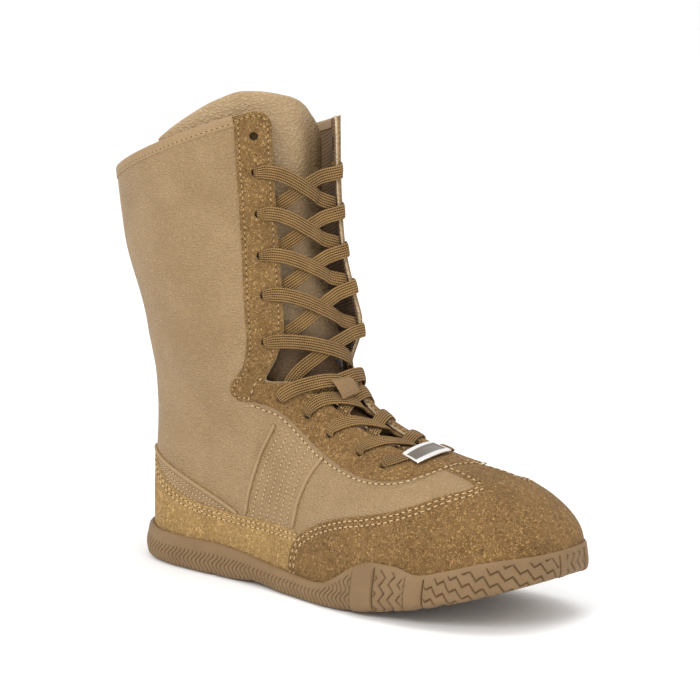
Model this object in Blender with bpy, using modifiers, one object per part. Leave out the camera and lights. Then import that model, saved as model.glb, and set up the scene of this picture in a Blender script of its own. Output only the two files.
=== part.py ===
"""Tall lace-up sneaker with a wrestling-boot cut, right foot, standing on its sole.

Frame: metres, +Z up, +X from heel to toe, +Y to the wearer's left (the inner side of a right shoe).
The origin is on the floor under the middle of the heel. Tables and sizes are in millimetres.

The outside of the upper is one closed formula: a foot form and a shaft form blended together.
Every piece that follows it is placed by three numbers: the side (-1 outer, +1 inner), u (0 at the
middle of the throat, 1 at the back seam) and v (0 at the feather line on the sole, 1 at the collar).
"""
import math
from collections import namedtuple

import bmesh
import bpy
import numpy as np
from mathutils import Matrix, Vector

MM = 0.001
GAP = 0.35                      # clearance between pieces that touch
CUP_GAP = 0.5                   # clearance between the rubber cup and the upper
OUTER, INNER = -1, 1            # the two sides of the shoe

# --- driving sizes -----------------------------------------------------------------------------
WALL = 2.2                      # leather and lining of the upper
INSOLE_THICK = 4.0
TONGUE_THICK = 3.0
LACE_WIDTH, LACE_THICK = 7.6, 1.3
ZIP_WIDTH, ZIP_THICK = 8.0, 1.3
HEEL_X, HEEL_CAP_X = -35.0, 2.0         # rearmost point, and where the heel starts to close
TOE_X, TOE_CAP_X = 229.5, 172.0         # foremost point, and where the toe starts to close
SIDE_POWER, DOME_POWER = 2.6, 2.0
HEEL_POWER, TOE_POWER = 2.5, 3.1          # how square the plan is at the heel and at the toe
WALL_RISE = 12.5                # height over which the side stands upright above the feather line
BLEND = 26.0                    # width of the soft join between foot form and shaft form
FORM_SCALE = 35.0               # brings the foot form's value to about a distance in millimetres
BACK_RADIUS, FRONT_RADIUS = 33.0, 52.0  # rays fan out round the back and the front of each line
SHORT_LINE = 150.0              # below this length of line the back's radius grows
REACH = 110.0                   # length of a ray

# Foot form, by stations along the foot: middle, half width, height of the ridge, feather line.
FootRow = namedtuple("FootRow", "x centre half ridge base")
FOOT = (
    FootRow(0, 0.0, 31.5, 120, 10.5),
    FootRow(30, -0.5, 31.5, 122, 9.5),
    FootRow(60, -2.5, 32.0, 118, 8.0),
    FootRow(90, -3.0, 35.0, 105, 6.5),
    FootRow(115, -2.5, 39.0, 91, 5.5),
    FootRow(140, -1.0, 42.0, 82, 6.5),
    FootRow(165, 2.0, 43.5, 76, 9.5),
    FootRow(190, 5.0, 43.0, 72.5, 15.0),
    FootRow(232, 9.0, 41.0, 64, 28.0),
)

# Shaft form, by height: middle, half depth (fore and aft), half width.
ShaftRow = namedtuple("ShaftRow", "z centre depth half")
SHAFT = (
    ShaftRow(30, 14, 40, 24),
    ShaftRow(70, 16, 43, 28),
    ShaftRow(100, 19, 51, 36),
    ShaftRow(130, 18, 60.5, 45),
    ShaftRow(180, 7, 67, 50),
    ShaftRow(230, 3, 68, 52),
    ShaftRow(270, 3, 66, 52),
)

# Each row is one line around the shoe, from the feather line (v = 0) to the collar (v = 1) and
# on to the top of the tongue. It runs straight from its back point to its front point.
SheetRow = namedtuple("SheetRow", "back_x back_z front_x front_z")
SHEETS = (
    SheetRow(-35, 10.5, 233, 28),
    SheetRow(-35, 25, 234, 44),
    SheetRow(-35, 35, 226, 56),
    SheetRow(-35, 44, 206, 66),
    SheetRow(-35, 53, 181, 73),
    SheetRow(-35, 62, 155, 81),
    SheetRow(-34, 71, 131, 94),
    SheetRow(-34, 82, 112, 110),
    SheetRow(-35, 94, 97, 127),
    SheetRow(-38, 109, 88, 146),
    SheetRow(-42, 126, 82, 167),
    SheetRow(-48, 145, 78, 188),
    SheetRow(-55, 166, 74, 211),
    SheetRow(-61, 187, 71, 234),
    SheetRow(-65, 209, 70, 258),
    SheetRow(-67, 232, 70, 281),
)
COLLAR_ROW = 14                 # the row of SHEETS that is the collar
FLOOR_FADE = 0.36               # above this v the lines no longer follow the feather line's curve

# The throat, by v: how far its middle lies towards the inner side, its half width, and how much a
# line square across it falls, in v, at 30 mm from its middle.
ThroatRow = namedtuple("ThroatRow", "v middle half_gap bow")
THROAT = (
    ThroatRow(0.000, 0.0, 0.0, 0.0246),
    ThroatRow(0.340, -1.0, 0.0, 0.0246),
    ThroatRow(0.346, -1.4, 6.5, 0.0246),
    ThroatRow(0.356, -2.0, 9.6, 0.0244),
    ThroatRow(0.375, -2.8, 11.8, 0.0235),
    ThroatRow(0.405, -4.0, 13.6, 0.0229),
    ThroatRow(0.450, -5.5, 15.2, 0.0234),
    ThroatRow(0.490, -7.5, 18.5, 0.0265),
    ThroatRow(0.508, -8.2, 21.5, 0.0270),
    ThroatRow(0.517, -8.5, 31.0, 0.0230),
    ThroatRow(0.530, -9.0, 41.0, 0.0170),
    ThroatRow(0.556, -9.6, 43.5, 0.0090),
    ThroatRow(0.574, -9.9, 38.5, 0.0050),
    ThroatRow(0.592, -10.1, 32.5, 0.0020),
    ThroatRow(0.620, -10.4, 24.8, 0.0000),
    ThroatRow(0.650, -10.6, 22.3, 0.0000),
    ThroatRow(0.700, -10.8, 20.0, 0.0000),
    ThroatRow(0.770, -10.8, 18.6, 0.0000),
    ThroatRow(1.000, -10.8, 18.2, 0.0000),
    ThroatRow(1.072, -10.8, 18.2, 0.0000),
)
THROAT_BASE = 0.340
BOW_AT = 30.0
COLLAR_CORNER = 12.0            # radius of the eyestay's upper corner

# Pairs of laced eyelets from the toe up: line, distance from the throat's middle, where the strand
# that leaves them has crossed the throat's near edge, where the one that comes in meets the far
# edge, and how much higher the strands lie that leave them.
EyeletRow = namedtuple("EyeletRow", "level distance near far lift")
EYELETS = (
    EyeletRow(0.363, 32.6, 10.2, 10.2, 0.0), EyeletRow(0.397, 34.9, 12.9, 12.9, 0.0),
    EyeletRow(0.449, 37.8, 15.0, 15.0, 0.0), EyeletRow(0.503, 38.9, 19.0, 16.0, 0.0),
    EyeletRow(0.537, 48.5, 13.0, 33.0, 1.2), EyeletRow(0.617, 36.2, 25.0, 23.5, 0.0),
    EyeletRow(0.700, 31.0, 20.0, 20.0, 0.0), EyeletRow(0.770, 29.8, 18.6, 18.6, 0.0),
    EyeletRow(0.837, 29.0, 18.5, 18.5, 0.0), EyeletRow(0.903, 29.2, 18.3, 18.3, 0.0),
)

# Outsole: height of the rubber lip on the outer and the inner side, along the foot.
LipRow = namedtuple("LipRow", "x outer inner")
LIP = (
    LipRow(-35, 19.0, 19.0),
    LipRow(-14, 17.8, 18.5),
    LipRow(28, 18.0, 18.0),
    LipRow(50, 16.2, 17.0),
    LipRow(71, 13.4, 15.5),
    LipRow(89, 12.2, 14.5),
    LipRow(105, 11.6, 14.2),
    LipRow(113, 12.4, 14.5),
    LipRow(122, 16.5, 15.5),
    LipRow(137, 25.4, 18.0),
    LipRow(150, 29.6, 21.0),
    LipRow(163, 29.4, 24.0),
    LipRow(175, 27.0, 27.0),
    LipRow(192, 31.2, 32.0),
    LipRow(211, 37.0, 37.2),
    LipRow(222, 39.2, 39.2),
    LipRow(229, 40.0, 40.0),
)
# Section of the rubber wall from the lip down: share of the wall's height, distance from the upper.
WallRow = namedtuple("WallRow", "down out")
RUBBER_WALL = (
    WallRow(0.00, 1.5),
    WallRow(0.06, 2.9),
    WallRow(0.30, 3.9),
    WallRow(0.60, 4.8),
    WallRow(0.84, 4.3),
    WallRow(0.95, 2.6),
    WallRow(1.00, 0.4),
)
SPRING_START, SPRING_RISE, SPRING_POWER = 116.0, 26.0, 1.7      # toe spring
ARCH_START, ARCH_END, ARCH_RISE = 36.0, 84.0, 1.8
HEEL_BEVEL_X, HEEL_BEVEL = -24.0, 2.5
GROOVE_DEPTH = 1.6
BAR_PROUD = 0.9                 # the smooth bars stand this far out of the rubber wall
TOE_WALL_START, TOE_WALL_END, TOE_WALL = 165.0, 215.0, 0.55     # the rubber wall is thinner round the toe
# Rows across the sole, by u, from toe to heel: the lugs, the grooves between them and the bars.
LugRow = namedtuple("LugRow", "u groove bar")
LUGS = (
    LugRow(0.000, 0, 0), LugRow(0.020, 0, 0), LugRow(0.040, 0, 0), LugRow(0.062, 0, 0),
    LugRow(0.085, 0, 0), LugRow(0.110, 0, 0), LugRow(0.130, 0, 0), LugRow(0.133, 1, 0),
    LugRow(0.148, 1, 0), LugRow(0.151, 0, 0), LugRow(0.180, 0, 0), LugRow(0.206, 0, 0),
    LugRow(0.209, 1, 0), LugRow(0.224, 1, 0), LugRow(0.227, 0, 0), LugRow(0.255, 0, 0),
    LugRow(0.258, 1, 0), LugRow(0.270, 1, 0), LugRow(0.273, 0, 1), LugRow(0.310, 0, 1),
    LugRow(0.313, 1, 0), LugRow(0.324, 1, 0), LugRow(0.327, 0, 0), LugRow(0.352, 0, 0),
    LugRow(0.355, 1, 0), LugRow(0.364, 1, 0), LugRow(0.367, 0, 1), LugRow(0.400, 0, 1),
    LugRow(0.403, 1, 0), LugRow(0.414, 1, 0), LugRow(0.417, 0, 0), LugRow(0.450, 0, 0),
    LugRow(0.485, 0, 0), LugRow(0.520, 0, 0), LugRow(0.560, 0, 0), LugRow(0.600, 0, 0),
    LugRow(0.640, 0, 0), LugRow(0.643, 1, 0), LugRow(0.655, 1, 0), LugRow(0.658, 0, 0),
    LugRow(0.700, 0, 0), LugRow(0.735, 0, 0), LugRow(0.738, 1, 0), LugRow(0.750, 1, 0),
    LugRow(0.753, 0, 0), LugRow(0.790, 0, 0), LugRow(0.830, 0, 0), LugRow(0.870, 0, 0),
    LugRow(0.900, 0, 0), LugRow(0.930, 0, 0), LugRow(0.955, 0, 0), LugRow(0.980, 0, 0),
    LugRow(1.000, 0, 0),
)

# Tongue, by share of its length: half width on the outer and inner side, depth under the form
# at its middle and at its edges.
TongueRow = namedtuple("TongueRow", "t outer inner middle_depth edge_depth")
TONGUE = (
    TongueRow(0.00, 14, 14, 2.8, 2.8),
    TongueRow(0.07, 18, 18, 4.6, 3.0),
    TongueRow(0.20, 26, 26, 4.9, 3.2),
    TongueRow(0.30, 48, 46, 5.1, 3.4),
    TongueRow(0.40, 50, 46, 5.4, 3.6),
    TongueRow(0.60, 56, 48, 7.0, 4.2),
    TongueRow(0.80, 66, 54, 9.0, 5.5),
    TongueRow(1.00, 72, 56, 10.5, 7.0),
)
TONGUE_BASE, TONGUE_TOP = 0.318, 1.024
TONGUE_SHOULDER = 0.020         # how much lower the top is at the tongue's corners, in v

# The zip on the inner side, by v: its place along the foot.
ZipRow = namedtuple("ZipRow", "v x")
ZIP = (
    ZipRow(0.17, 19.0), ZipRow(0.30, 19.0), ZipRow(0.42, 18.5), ZipRow(0.505, 17.0),
    ZipRow(0.625, 16.0), ZipRow(0.745, 13.5), ZipRow(0.85, 9.0), ZipRow(0.985, 3.0),
)
SLIDER_LEVEL = 0.935


# --- curves and the outside form ------------------------------------------------------------------
def curve(rows, across, column):
    """A smooth curve without overshoot through one column of a table, as a function of another."""
    if isinstance(across, str):
        across = [getattr(row, across) for row in rows]
    xs = np.array(across, float)
    ys = np.array([getattr(row, column) for row in rows], float)
    steps = np.diff(xs)
    slopes = np.diff(ys) / steps
    before, after = slopes[:-1], slopes[1:]
    turning = before * after <= 0
    total = np.where(turning, 1.0, before + after)
    inside = np.where(turning, 0.0, 2 * before * after / total)
    tangents = np.concatenate([[slopes[0]], inside, [slopes[-1]]])

    def at(x):
        x = np.clip(x, xs[0], xs[-1])
        i = np.clip(np.searchsorted(xs, x, side="right") - 1, 0, len(xs) - 2)
        t = (x - xs[i]) / steps[i]
        return ((1 + 2 * t) * (1 - t) ** 2 * ys[i] + t * (1 - t) ** 2 * steps[i] * tangents[i]
                + t * t * (3 - 2 * t) * ys[i + 1] + t * t * (t - 1) * steps[i] * tangents[i + 1])
    return at


def curves(rows, across, columns):
    """One curve for each named column."""
    return {column: curve(rows, across, column) for column in columns.split()}


foot = curves(FOOT, "x", "centre half ridge base")
shaft = curves(SHAFT, "z", "centre depth half")
sheet = curves(SHEETS, np.arange(len(SHEETS)) / COLLAR_ROW, "back_x back_z front_x front_z")
throat = curves(THROAT, "v", "middle half_gap bow")
lip = curves(LIP, "x", "outer inner")
rubber = curves(RUBBER_WALL, "down", "out")
tongue = curves(TONGUE, "t", "outer inner middle_depth edge_depth")
zip_line = curves(ZIP, "v", "x")


def foot_value(x, y, z):
    """Foot form: below 0 inside, 0 on the surface."""
    wall = foot["base"](x) + WALL_RISE
    side = np.abs(y - foot["centre"](x)) / foot["half"](x)
    rise = np.maximum(z - wall, 0) / (foot["ridge"](x) - wall)
    toe = np.maximum(x - TOE_CAP_X, 0) / (TOE_X - TOE_CAP_X)
    heel = np.maximum(HEEL_CAP_X - x, 0) / (HEEL_CAP_X - HEEL_X)
    total = side ** SIDE_POWER + rise ** DOME_POWER + toe ** TOE_POWER + heel ** HEEL_POWER
    return (total ** (1 / SIDE_POWER) - 1) * FORM_SCALE


def shaft_value(x, y, z):
    """Shaft form: an ellipse at each height."""
    half = shaft["half"](z)
    return (np.hypot((x - shaft["centre"](z)) / shaft["depth"](z), y / half) - 1) * half


def form_value(x, y, z):
    """The two forms joined with a soft hollow between them."""
    a, b = foot_value(x, y, z), shaft_value(x, y, z)
    overlap = np.maximum(BLEND - np.abs(a - b), 0) / BLEND
    return np.minimum(a, b) - overlap ** 2 * BLEND / 4


def sheet_height(x, v):
    """Height of line v above the point x of the foot."""
    back_x, back_z = sheet["back_x"](v), sheet["back_z"](v)
    front_x, front_z = sheet["front_x"](v), sheet["front_z"](v)
    line = back_z + (front_z - back_z) * (x - back_x) / (front_x - back_x)
    first = SHEETS[0]
    slope = (first.front_z - first.back_z) / (first.front_x - first.back_x)
    floor_line = first.back_z + slope * (x - first.back_x)
    fade = np.clip(1 - v / FLOOR_FADE, 0, 1)
    return line + fade * (foot["base"](x) - floor_line)


def ring_point(w, v):
    """Point of the form on line v, at w: 0 at the front, -1 and +1 at the back on each side."""
    u = np.abs(w)
    side = np.where(w < 0, -1.0, 1.0)
    back_x, front_x = sheet["back_x"](v), sheet["front_x"](v)
    length = front_x - back_x
    back_r = np.minimum(length / 2, BACK_RADIUS + np.maximum(SHORT_LINE - length, 0) * 0.6)
    front_r = np.minimum(FRONT_RADIUS, length / 2)
    spine = np.maximum(length - back_r - front_r, 0.5)
    quarter = math.pi / 2
    d = u * (quarter * front_r + spine + quarter * back_r)
    along = np.clip((d - quarter * front_r) / spine, 0, 1)
    angle = (np.clip(d / front_r, 0, quarter)
             + np.clip((d - quarter * front_r - spine) / back_r, 0, quarter))
    start_x = front_x - front_r - along * spine
    start_y = foot["centre"](start_x) * np.clip(1 - v / 0.6, 0, 1)
    dx, dy = np.cos(angle), side * np.sin(angle)
    near, far = np.zeros_like(d), np.full_like(d, REACH)
    for _ in range(34):
        mid = (near + far) / 2
        x, y = start_x + mid * dx, start_y + mid * dy
        outside = form_value(x, y, sheet_height(x, v)) > 0
        far = np.where(outside, mid, far)
        near = np.where(outside, near, mid)
    x, y = start_x + near * dx, start_y + near * dy
    return np.stack([x, y, sheet_height(x, v)], -1)


def measure_girth(samples=64, levels=48):
    """Length of half a ring, from front to back, as a function of v."""
    v = np.linspace(0, SHEETS_TOP, levels)
    w = np.linspace(0, 1, samples)
    points = ring_point(*np.broadcast_arrays(w[:, None], v[None, :]))
    lengths = np.linalg.norm(np.diff(points, axis=0), axis=-1).sum(axis=0)
    return lambda at: np.interp(at, v, lengths)


SHEETS_TOP = (len(SHEETS) - 1) / COLLAR_ROW
girth = measure_girth()


def surface(side, u, v):
    """Point of the outside form, with u counted from the middle of the throat."""
    u, v = np.broadcast_arrays(np.asarray(u, float), np.asarray(v, float))
    return ring_point(side * u + throat["middle"](v) / girth(v) * (1 - u), v)


def normal(points, step=0.05):
    """Outward direction of the form."""
    x, y, z = points[..., 0], points[..., 1], points[..., 2]
    slope = np.stack([form_value(x + step, y, z) - form_value(x - step, y, z),
                      form_value(x, y + step, z) - form_value(x, y - step, z),
                      form_value(x, y, z + step) - form_value(x, y, z - step)], -1)
    return slope / np.linalg.norm(slope, axis=-1, keepdims=True)


def across_throat(s, level, height):
    """Point s millimetres from the middle of the throat, outer side below zero.

    The level is the line's v at the middle; square across the throat it falls away on both sides.
    """
    s, level, height = np.broadcast_arrays(*(np.asarray(a, float) for a in (s, level, height)))
    v = level - throat["bow"](level) * (s / BOW_AT) ** 2
    w = s / girth(v) + throat["middle"](v) / girth(v) * (1 - np.abs(s) / girth(v))
    points = ring_point(w, v)
    return points + normal(points) * height[..., None]


# --- meshes ------------------------------------------------------------------------------------------
def fresh_collection(name):
    collection = bpy.data.collections.new(name)
    bpy.context.scene.collection.children.link(collection)
    return collection


def principled(name, colour, roughness, metallic=0.0):
    material = bpy.data.materials.new(name)
    material.use_nodes = True
    shader = material.node_tree.nodes["Principled BSDF"]
    shader.inputs["Base Color"].default_value = (*colour, 1.0)
    shader.inputs["Roughness"].default_value = roughness
    shader.inputs["Metallic"].default_value = metallic
    material.diffuse_color = (*colour, 1.0)
    return material


def add_object(name, vertices, faces, material, collection, parent, close=True):
    """A mesh object from points in millimetres; points that coincide are welded."""
    mesh = bpy.data.meshes.new(name)
    mesh.from_pydata([tuple(float(c) * MM for c in p) for p in vertices], [], faces)
    work = bmesh.new()
    work.from_mesh(mesh)
    bmesh.ops.remove_doubles(work, verts=work.verts, dist=1e-6)
    if close:
        bmesh.ops.recalc_face_normals(work, faces=work.faces)
    work.to_mesh(mesh)
    work.free()
    mesh.shade_smooth()
    mesh.set_sharp_from_angle(angle=math.radians(40))
    mesh.materials.append(material)
    thing = bpy.data.objects.new(name, mesh)
    collection.objects.link(thing)
    thing.parent = parent
    return thing


def grid_faces(rows, columns, closed=False):
    """Quads between the points of a grid, which may close on itself across the columns."""
    last = columns if closed else columns - 1
    faces = []
    for i in range(rows - 1):
        for j in range(last):
            k = (j + 1) % columns
            faces.append((i * columns + j, i * columns + k, (i + 1) * columns + k, (i + 1) * columns + j))
    return faces


def loft(name, loops, material, collection, parent, caps=True):
    """A solid through closed loops of equal length."""
    rows, columns = len(loops), len(loops[0])
    faces = grid_faces(rows, columns, closed=True)
    if caps:
        faces.append(tuple(range(columns)))
        faces.append(tuple(reversed(range((rows - 1) * columns, rows * columns))))
    vertices = [point for ring in loops for point in ring]
    return add_object(name, vertices, faces, material, collection, parent)


def sheet_object(name, grids, thickness, material, collection, parent):
    """An open surface from one or more grids that share an edge, thickened inwards."""
    vertices, faces = [], []
    for grid, flipped in grids:
        start = len(vertices)
        rows, columns = grid.shape[:2]
        vertices.extend(grid.reshape(-1, 3))
        for face in grid_faces(rows, columns):
            face = tuple(start + i for i in face)
            faces.append(tuple(reversed(face)) if flipped else face)
    thing = add_object(name, vertices, faces, material, collection, parent, close=False)
    solid = thing.modifiers.new("Wall", "SOLIDIFY")
    solid.thickness = thickness * MM
    solid.offset = -1.0
    solid.use_even_offset = True
    solid.use_quality_normals = True
    return thing


# --- upper ---------------------------------------------------------------------------------------------
UPPER_LEVELS = np.concatenate([np.linspace(0, 0.315, 8), THROAT_BASE + np.array([0, 0.005, 0.015, 0.034]),
                               np.linspace(0.400, 0.490, 4), (0.507, 0.517, 0.530, 0.545, 0.556, 0.575),
                               (0.595, 0.620), np.linspace(0.665, 0.940, 7), (0.962, 0.978, 0.991, 1.0)])
UPPER_COLUMNS = np.concatenate([[0, 0.012, 0.035, 0.07], np.linspace(0.12, 1, 15)])
INSOLE_COLUMNS = np.concatenate([[0], np.linspace(0.12, 1, 15)])


def collar_drop(distance):
    """How far the collar's edge falls, in v, near the rounded corner of the eyestay."""
    inside = np.clip(1 - distance / COLLAR_CORNER, 0, 1)
    return (1 - np.sqrt(1 - inside ** 2)) * COLLAR_CORNER / 25.0 / COLLAR_ROW


def build_upper(material, collection, parent):
    grids = []
    for side in (OUTER, INNER):
        share, v = np.meshgrid(UPPER_COLUMNS, UPPER_LEVELS, indexing="ij")
        edge = throat["half_gap"](v) / girth(v)
        u = edge + (1 - edge) * share
        drop = collar_drop((u - edge) * girth(v))
        v = v - drop * np.clip((v - 0.9) / 0.1, 0, 1)
        grids.append((surface(side, u, v), side == INNER))
    return sheet_object("upper", grids, WALL, material, collection, parent)


# --- sole ----------------------------------------------------------------------------------------------
def sole_bottom(x):
    """Height of the tread above the floor: flat at heel and ball, an arch, and the toe spring."""
    spring = SPRING_RISE * (np.maximum(x - SPRING_START, 0) / (TOE_X - SPRING_START)) ** SPRING_POWER
    arch = np.clip((x - ARCH_START) / (ARCH_END - ARCH_START), 0, 1)
    bevel = np.maximum(HEEL_BEVEL_X - x, 0) / (HEEL_BEVEL_X - HEEL_X)
    return spring + ARCH_RISE * np.sin(arch * math.pi) ** 2 + HEEL_BEVEL * bevel ** 2


def side_at_height(side, u, z):
    """Points of the upper's side at given heights, and the level direction out of the shoe there.

    Below the feather line the side goes straight down.
    """
    z = np.asarray(z, float)
    levels = np.linspace(0, 0.24, 25)
    column = surface(side, u, levels)
    v = np.interp(z, column[:, 2], levels)
    points = surface(side, u, v)
    out = normal(points)
    out[:, 2] = 0
    out /= np.linalg.norm(out, axis=-1, keepdims=True)
    points[:, 2] = z
    return points, out


def sole_profile(side, row):
    """Half section of the rubber at one row: cup floor's edge, inner wall, lip and outer wall."""
    foot_x = surface(side, row.u, 0.0)[0]
    lip_height = lip["outer" if side < 0 else "inner"](foot_x)
    floor = foot["base"](foot_x) - GAP
    low = sole_bottom(foot_x) + row.groove * GROOVE_DEPTH
    heights = [floor, (floor + lip_height) / 2, lip_height - 0.5]
    offsets = [CUP_GAP, CUP_GAP, CUP_GAP]
    toe = np.clip((foot_x - TOE_WALL_START) / (TOE_WALL_END - TOE_WALL_START), 0, 1)
    thinner = 1 - (1 - TOE_WALL) * toe * toe * (3 - 2 * toe)
    for wall in RUBBER_WALL:
        heights.append(lip_height + (low - lip_height) * wall.down)
        proud = BAR_PROUD * row.bar * (0.1 < wall.down < 0.99)
        offsets.append(CUP_GAP + wall.out * thinner + proud)
    points, out = side_at_height(side, row.u, heights)
    return list(points + out * np.array(offsets)[:, None])


def between(start, end, count, height):
    """Points on the way across the sole, at a height that depends on the place along the foot."""
    points = []
    for share in np.linspace(0, 1, count + 2)[1:-1]:
        point = start + (end - start) * share
        point[2] = height(point[0])
        points.append(point)
    return points


def build_outsole(material, collection, parent):
    loops = []
    for row in LUGS:
        outer, inner = sole_profile(OUTER, row), sole_profile(INNER, row)
        tread = between(outer[-1], inner[-1], 3,
                        lambda x, groove=row.groove: sole_bottom(x) + groove * GROOVE_DEPTH)
        cup = between(inner[0], outer[0], 3, lambda x: foot["base"](x) - GAP)
        loops.append(outer + tread + inner[::-1] + cup)
    return loft("outsole", loops, material, collection, parent, caps=False)


def build_insole(material, collection, parent):
    loops = []
    for u in INSOLE_COLUMNS:
        sides = []
        for side in (OUTER, INNER):
            base, out = side_at_height(side, u, [0.0])
            edge = base[0] - out[0] * (WALL + GAP)
            low = foot["base"](edge[0])
            sides.append((np.array([*edge[:2], low]), np.array([*edge[:2], low + INSOLE_THICK])))
        (outer_low, outer_top), (inner_low, inner_top) = sides
        top = between(outer_top, inner_top, 3, lambda x: foot["base"](x) + INSOLE_THICK)
        under = between(inner_low, outer_low, 3, foot["base"])
        loops.append([outer_low, outer_top] + top + [inner_top, inner_low] + under)
    return loft("insole", loops, material, collection, parent, caps=False)


# --- tongue --------------------------------------------------------------------------------------------
def tongue_point(side, share, t, height=0.0):
    """Point of the tongue's outer face: share of the half width, t along its length."""
    half = tongue["outer" if side < 0 else "inner"](t)
    depth = tongue["middle_depth"](t) + (tongue["edge_depth"](t) - tongue["middle_depth"](t)) * share ** 2
    top = TONGUE_TOP - TONGUE_SHOULDER * share ** 3
    v = TONGUE_BASE + (top - TONGUE_BASE) * t
    return across_throat(side * share * half, v, height - depth)


def build_tongue(material, collection, parent, rows=22, columns=8):
    grids = []
    for side in (OUTER, INNER):
        share, t = np.meshgrid(np.linspace(0, 1, columns), np.linspace(0, 1, rows), indexing="ij")
        grids.append((tongue_point(side, share, t), side == INNER))
    return sheet_object("tongue", grids, TONGUE_THICK, material, collection, parent)


# --- laces ---------------------------------------------------------------------------------------------
def ribbon(name, points, normals, width, thickness, material, collection, parent):
    """A flat strip along a path, its face turned to the given normals."""
    loops = []
    for i, (point, up) in enumerate(zip(points, normals)):
        ahead = points[min(i + 1, len(points) - 1)] - points[max(i - 1, 0)]
        sideways = np.cross(up, ahead)
        sideways *= width / 2 / np.linalg.norm(sideways)
        rise = up * thickness / 2
        loops.append([point - sideways - rise, point + sideways - rise,
                      point + sideways + rise, point - sideways + rise])
    return loft(name, loops, material, collection, parent)


OVER, UNDER = -0.1, -1.0        # height of the two strands where they cross
ON_STAY, PAST_EDGE = 1.4, 1.6   # height over the eyestay, and where a strand has cleared its edge
BELOW_STAY = -2.7               # height at the far edge, where the lace goes under the eyestay
EDGE_CLEARANCE = 3.6            # a crossing's ends stop this far short of the far edge


def strand_path(side, upper, lower, crossing_height):
    """A strand from its eyelet down to the throat's far edge: s, level and height."""
    start, end = upper.distance, -lower.distance
    near_edge = upper.near - EDGE_CLEARANCE
    stop = EDGE_CLEARANCE - lower.far
    knots = np.array([start, (start + near_edge) / 2, near_edge, near_edge / 2, 0.0,
                      stop / 2, stop + 1.5, stop])
    stay, past, middle = (height + upper.lift for height in (ON_STAY, PAST_EDGE, crossing_height))
    height = np.array([stay, stay, past, (past + middle) / 2, middle,
                       (BELOW_STAY + middle) / 2, BELOW_STAY + 0.3, BELOW_STAY])
    share = (start - knots) / (start - end)
    return side * knots, upper.level + (lower.level - upper.level) * share, height


def path_frames(s, level, height):
    base = across_throat(s, level, 0.0)
    up = normal(base)
    return base + up * height[:, None], up


def join_solids(base, other, cutters):
    """Make the two one body; the second stays behind as a hidden guide."""
    union = base.modifiers.new("Join", "BOOLEAN")
    union.operation = "UNION"
    union.solver = "EXACT"
    union.object = other
    for collection in list(other.users_collection):
        collection.objects.unlink(other)
    cutters.objects.link(other)
    other.hide_render = True
    other.display_type = "WIRE"


def build_lace_crossing(number, upper, lower, material, collection, cutters, parent):
    over = ribbon(f"lace_cross_{number}", *path_frames(*strand_path(OUTER, upper, lower, OVER)),
                  LACE_WIDTH, LACE_THICK, material, collection, parent)
    under = ribbon(f"lace_under_{number}", *path_frames(*strand_path(INNER, upper, lower, UNDER)),
                   LACE_WIDTH, LACE_THICK, material, collection, parent)
    join_solids(over, under, cutters)
    return over


def build_lace_bar(material, collection, parent, points=9):
    """The straight strand across the foot of the throat."""
    s = np.linspace(-1, 1, points) * EYELETS[0].distance
    level = np.full(points, EYELETS[0].level)
    return ribbon("lace_bar", *path_frames(s, level, np.full(points, ON_STAY)),
                  LACE_WIDTH, LACE_THICK, material, collection, parent)


PLATE_HALF, PLATE_DEPTH, PLATE_THICK, PLATE_LIFT = 14.0, 9.4, 1.1, 2.9


def build_lace_plate(material, collection, parent, points=9):
    """The blank metal plate that rides on the lowest lace."""
    s = np.linspace(-1, 1, points) * PLATE_HALF + 4.0
    level = np.full(points, EYELETS[0].level)
    plate = ribbon("lace_plate", *path_frames(s, level, np.full(points, PLATE_LIFT)),
                   PLATE_DEPTH, PLATE_THICK, material, collection, parent)
    bevel = plate.modifiers.new("Rounding", "BEVEL")
    bevel.width = 0.3 * MM
    bevel.segments = 1
    bevel.limit_method = "ANGLE"
    return plate


# The keeper loop on the tongue, by level: height of its band over the form.
KeeperRow = namedtuple("KeeperRow", "level height")
KEEPER = (
    KeeperRow(0.549, -3.7), KeeperRow(0.547, 0.4), KeeperRow(0.542, 3.2), KeeperRow(0.533, 4.3),
    KeeperRow(0.518, 4.4), KeeperRow(0.507, 3.9), KeeperRow(0.499, 2.8),
)
KEEPER_WIDTH, KEEPER_THICK = 13.0, 1.2


def build_keeper(material, collection, parent):
    """The leather loop that holds the laces on the tongue."""
    level = np.array([row.level for row in KEEPER])
    height = np.array([row.height for row in KEEPER])
    return ribbon("lace_keeper", *path_frames(np.zeros(len(KEEPER)), level, height),
                  KEEPER_WIDTH, KEEPER_THICK, material, collection, parent)


# --- zip -----------------------------------------------------------------------------------------------
def zip_u(v):
    """Where line v meets the zip on the inner side."""
    u = np.linspace(0.3, 0.95, 66)
    x = surface(INNER, u, np.full(66, v))[:, 0]
    return float(np.interp(-zip_line["x"](v), -x, u))


def build_zip_strip(material, collection, parent, rows=24):
    """The closed chain and its tape, lying on the shaft."""
    levels = np.linspace(ZIP[0].v, ZIP[-1].v, rows)
    base = np.array([surface(INNER, zip_u(v), v) for v in levels])
    up = normal(base)
    return ribbon("zip_strip", base + up * (GAP + ZIP_THICK / 2), up,
                  ZIP_WIDTH, ZIP_THICK, material, collection, parent)


SLIDER_LENGTH, SLIDER_WIDTH, SLIDER_THICK = 10.0, 8.4, 2.4
AXIS_HEIGHT = 1.1               # the pull's bar turns this far above the slider's face
BRIDGE_WIDTH, BRIDGE_THICK, BRIDGE_INSIDE, BRIDGE_CLEAR = 2.0, 0.9, 5.0, 1.15
PULL_THICK, PULL_WIDTH, PULL_LENGTH, PULL_BAR = 1.2, 5.6, 21.0, 0.6
PULL_SLOT_WIDTH, PULL_SLOT_LENGTH = 3.0, 4.6
REST_LIFT = math.radians(4)     # the hanging pull stands a little off the slider


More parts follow.
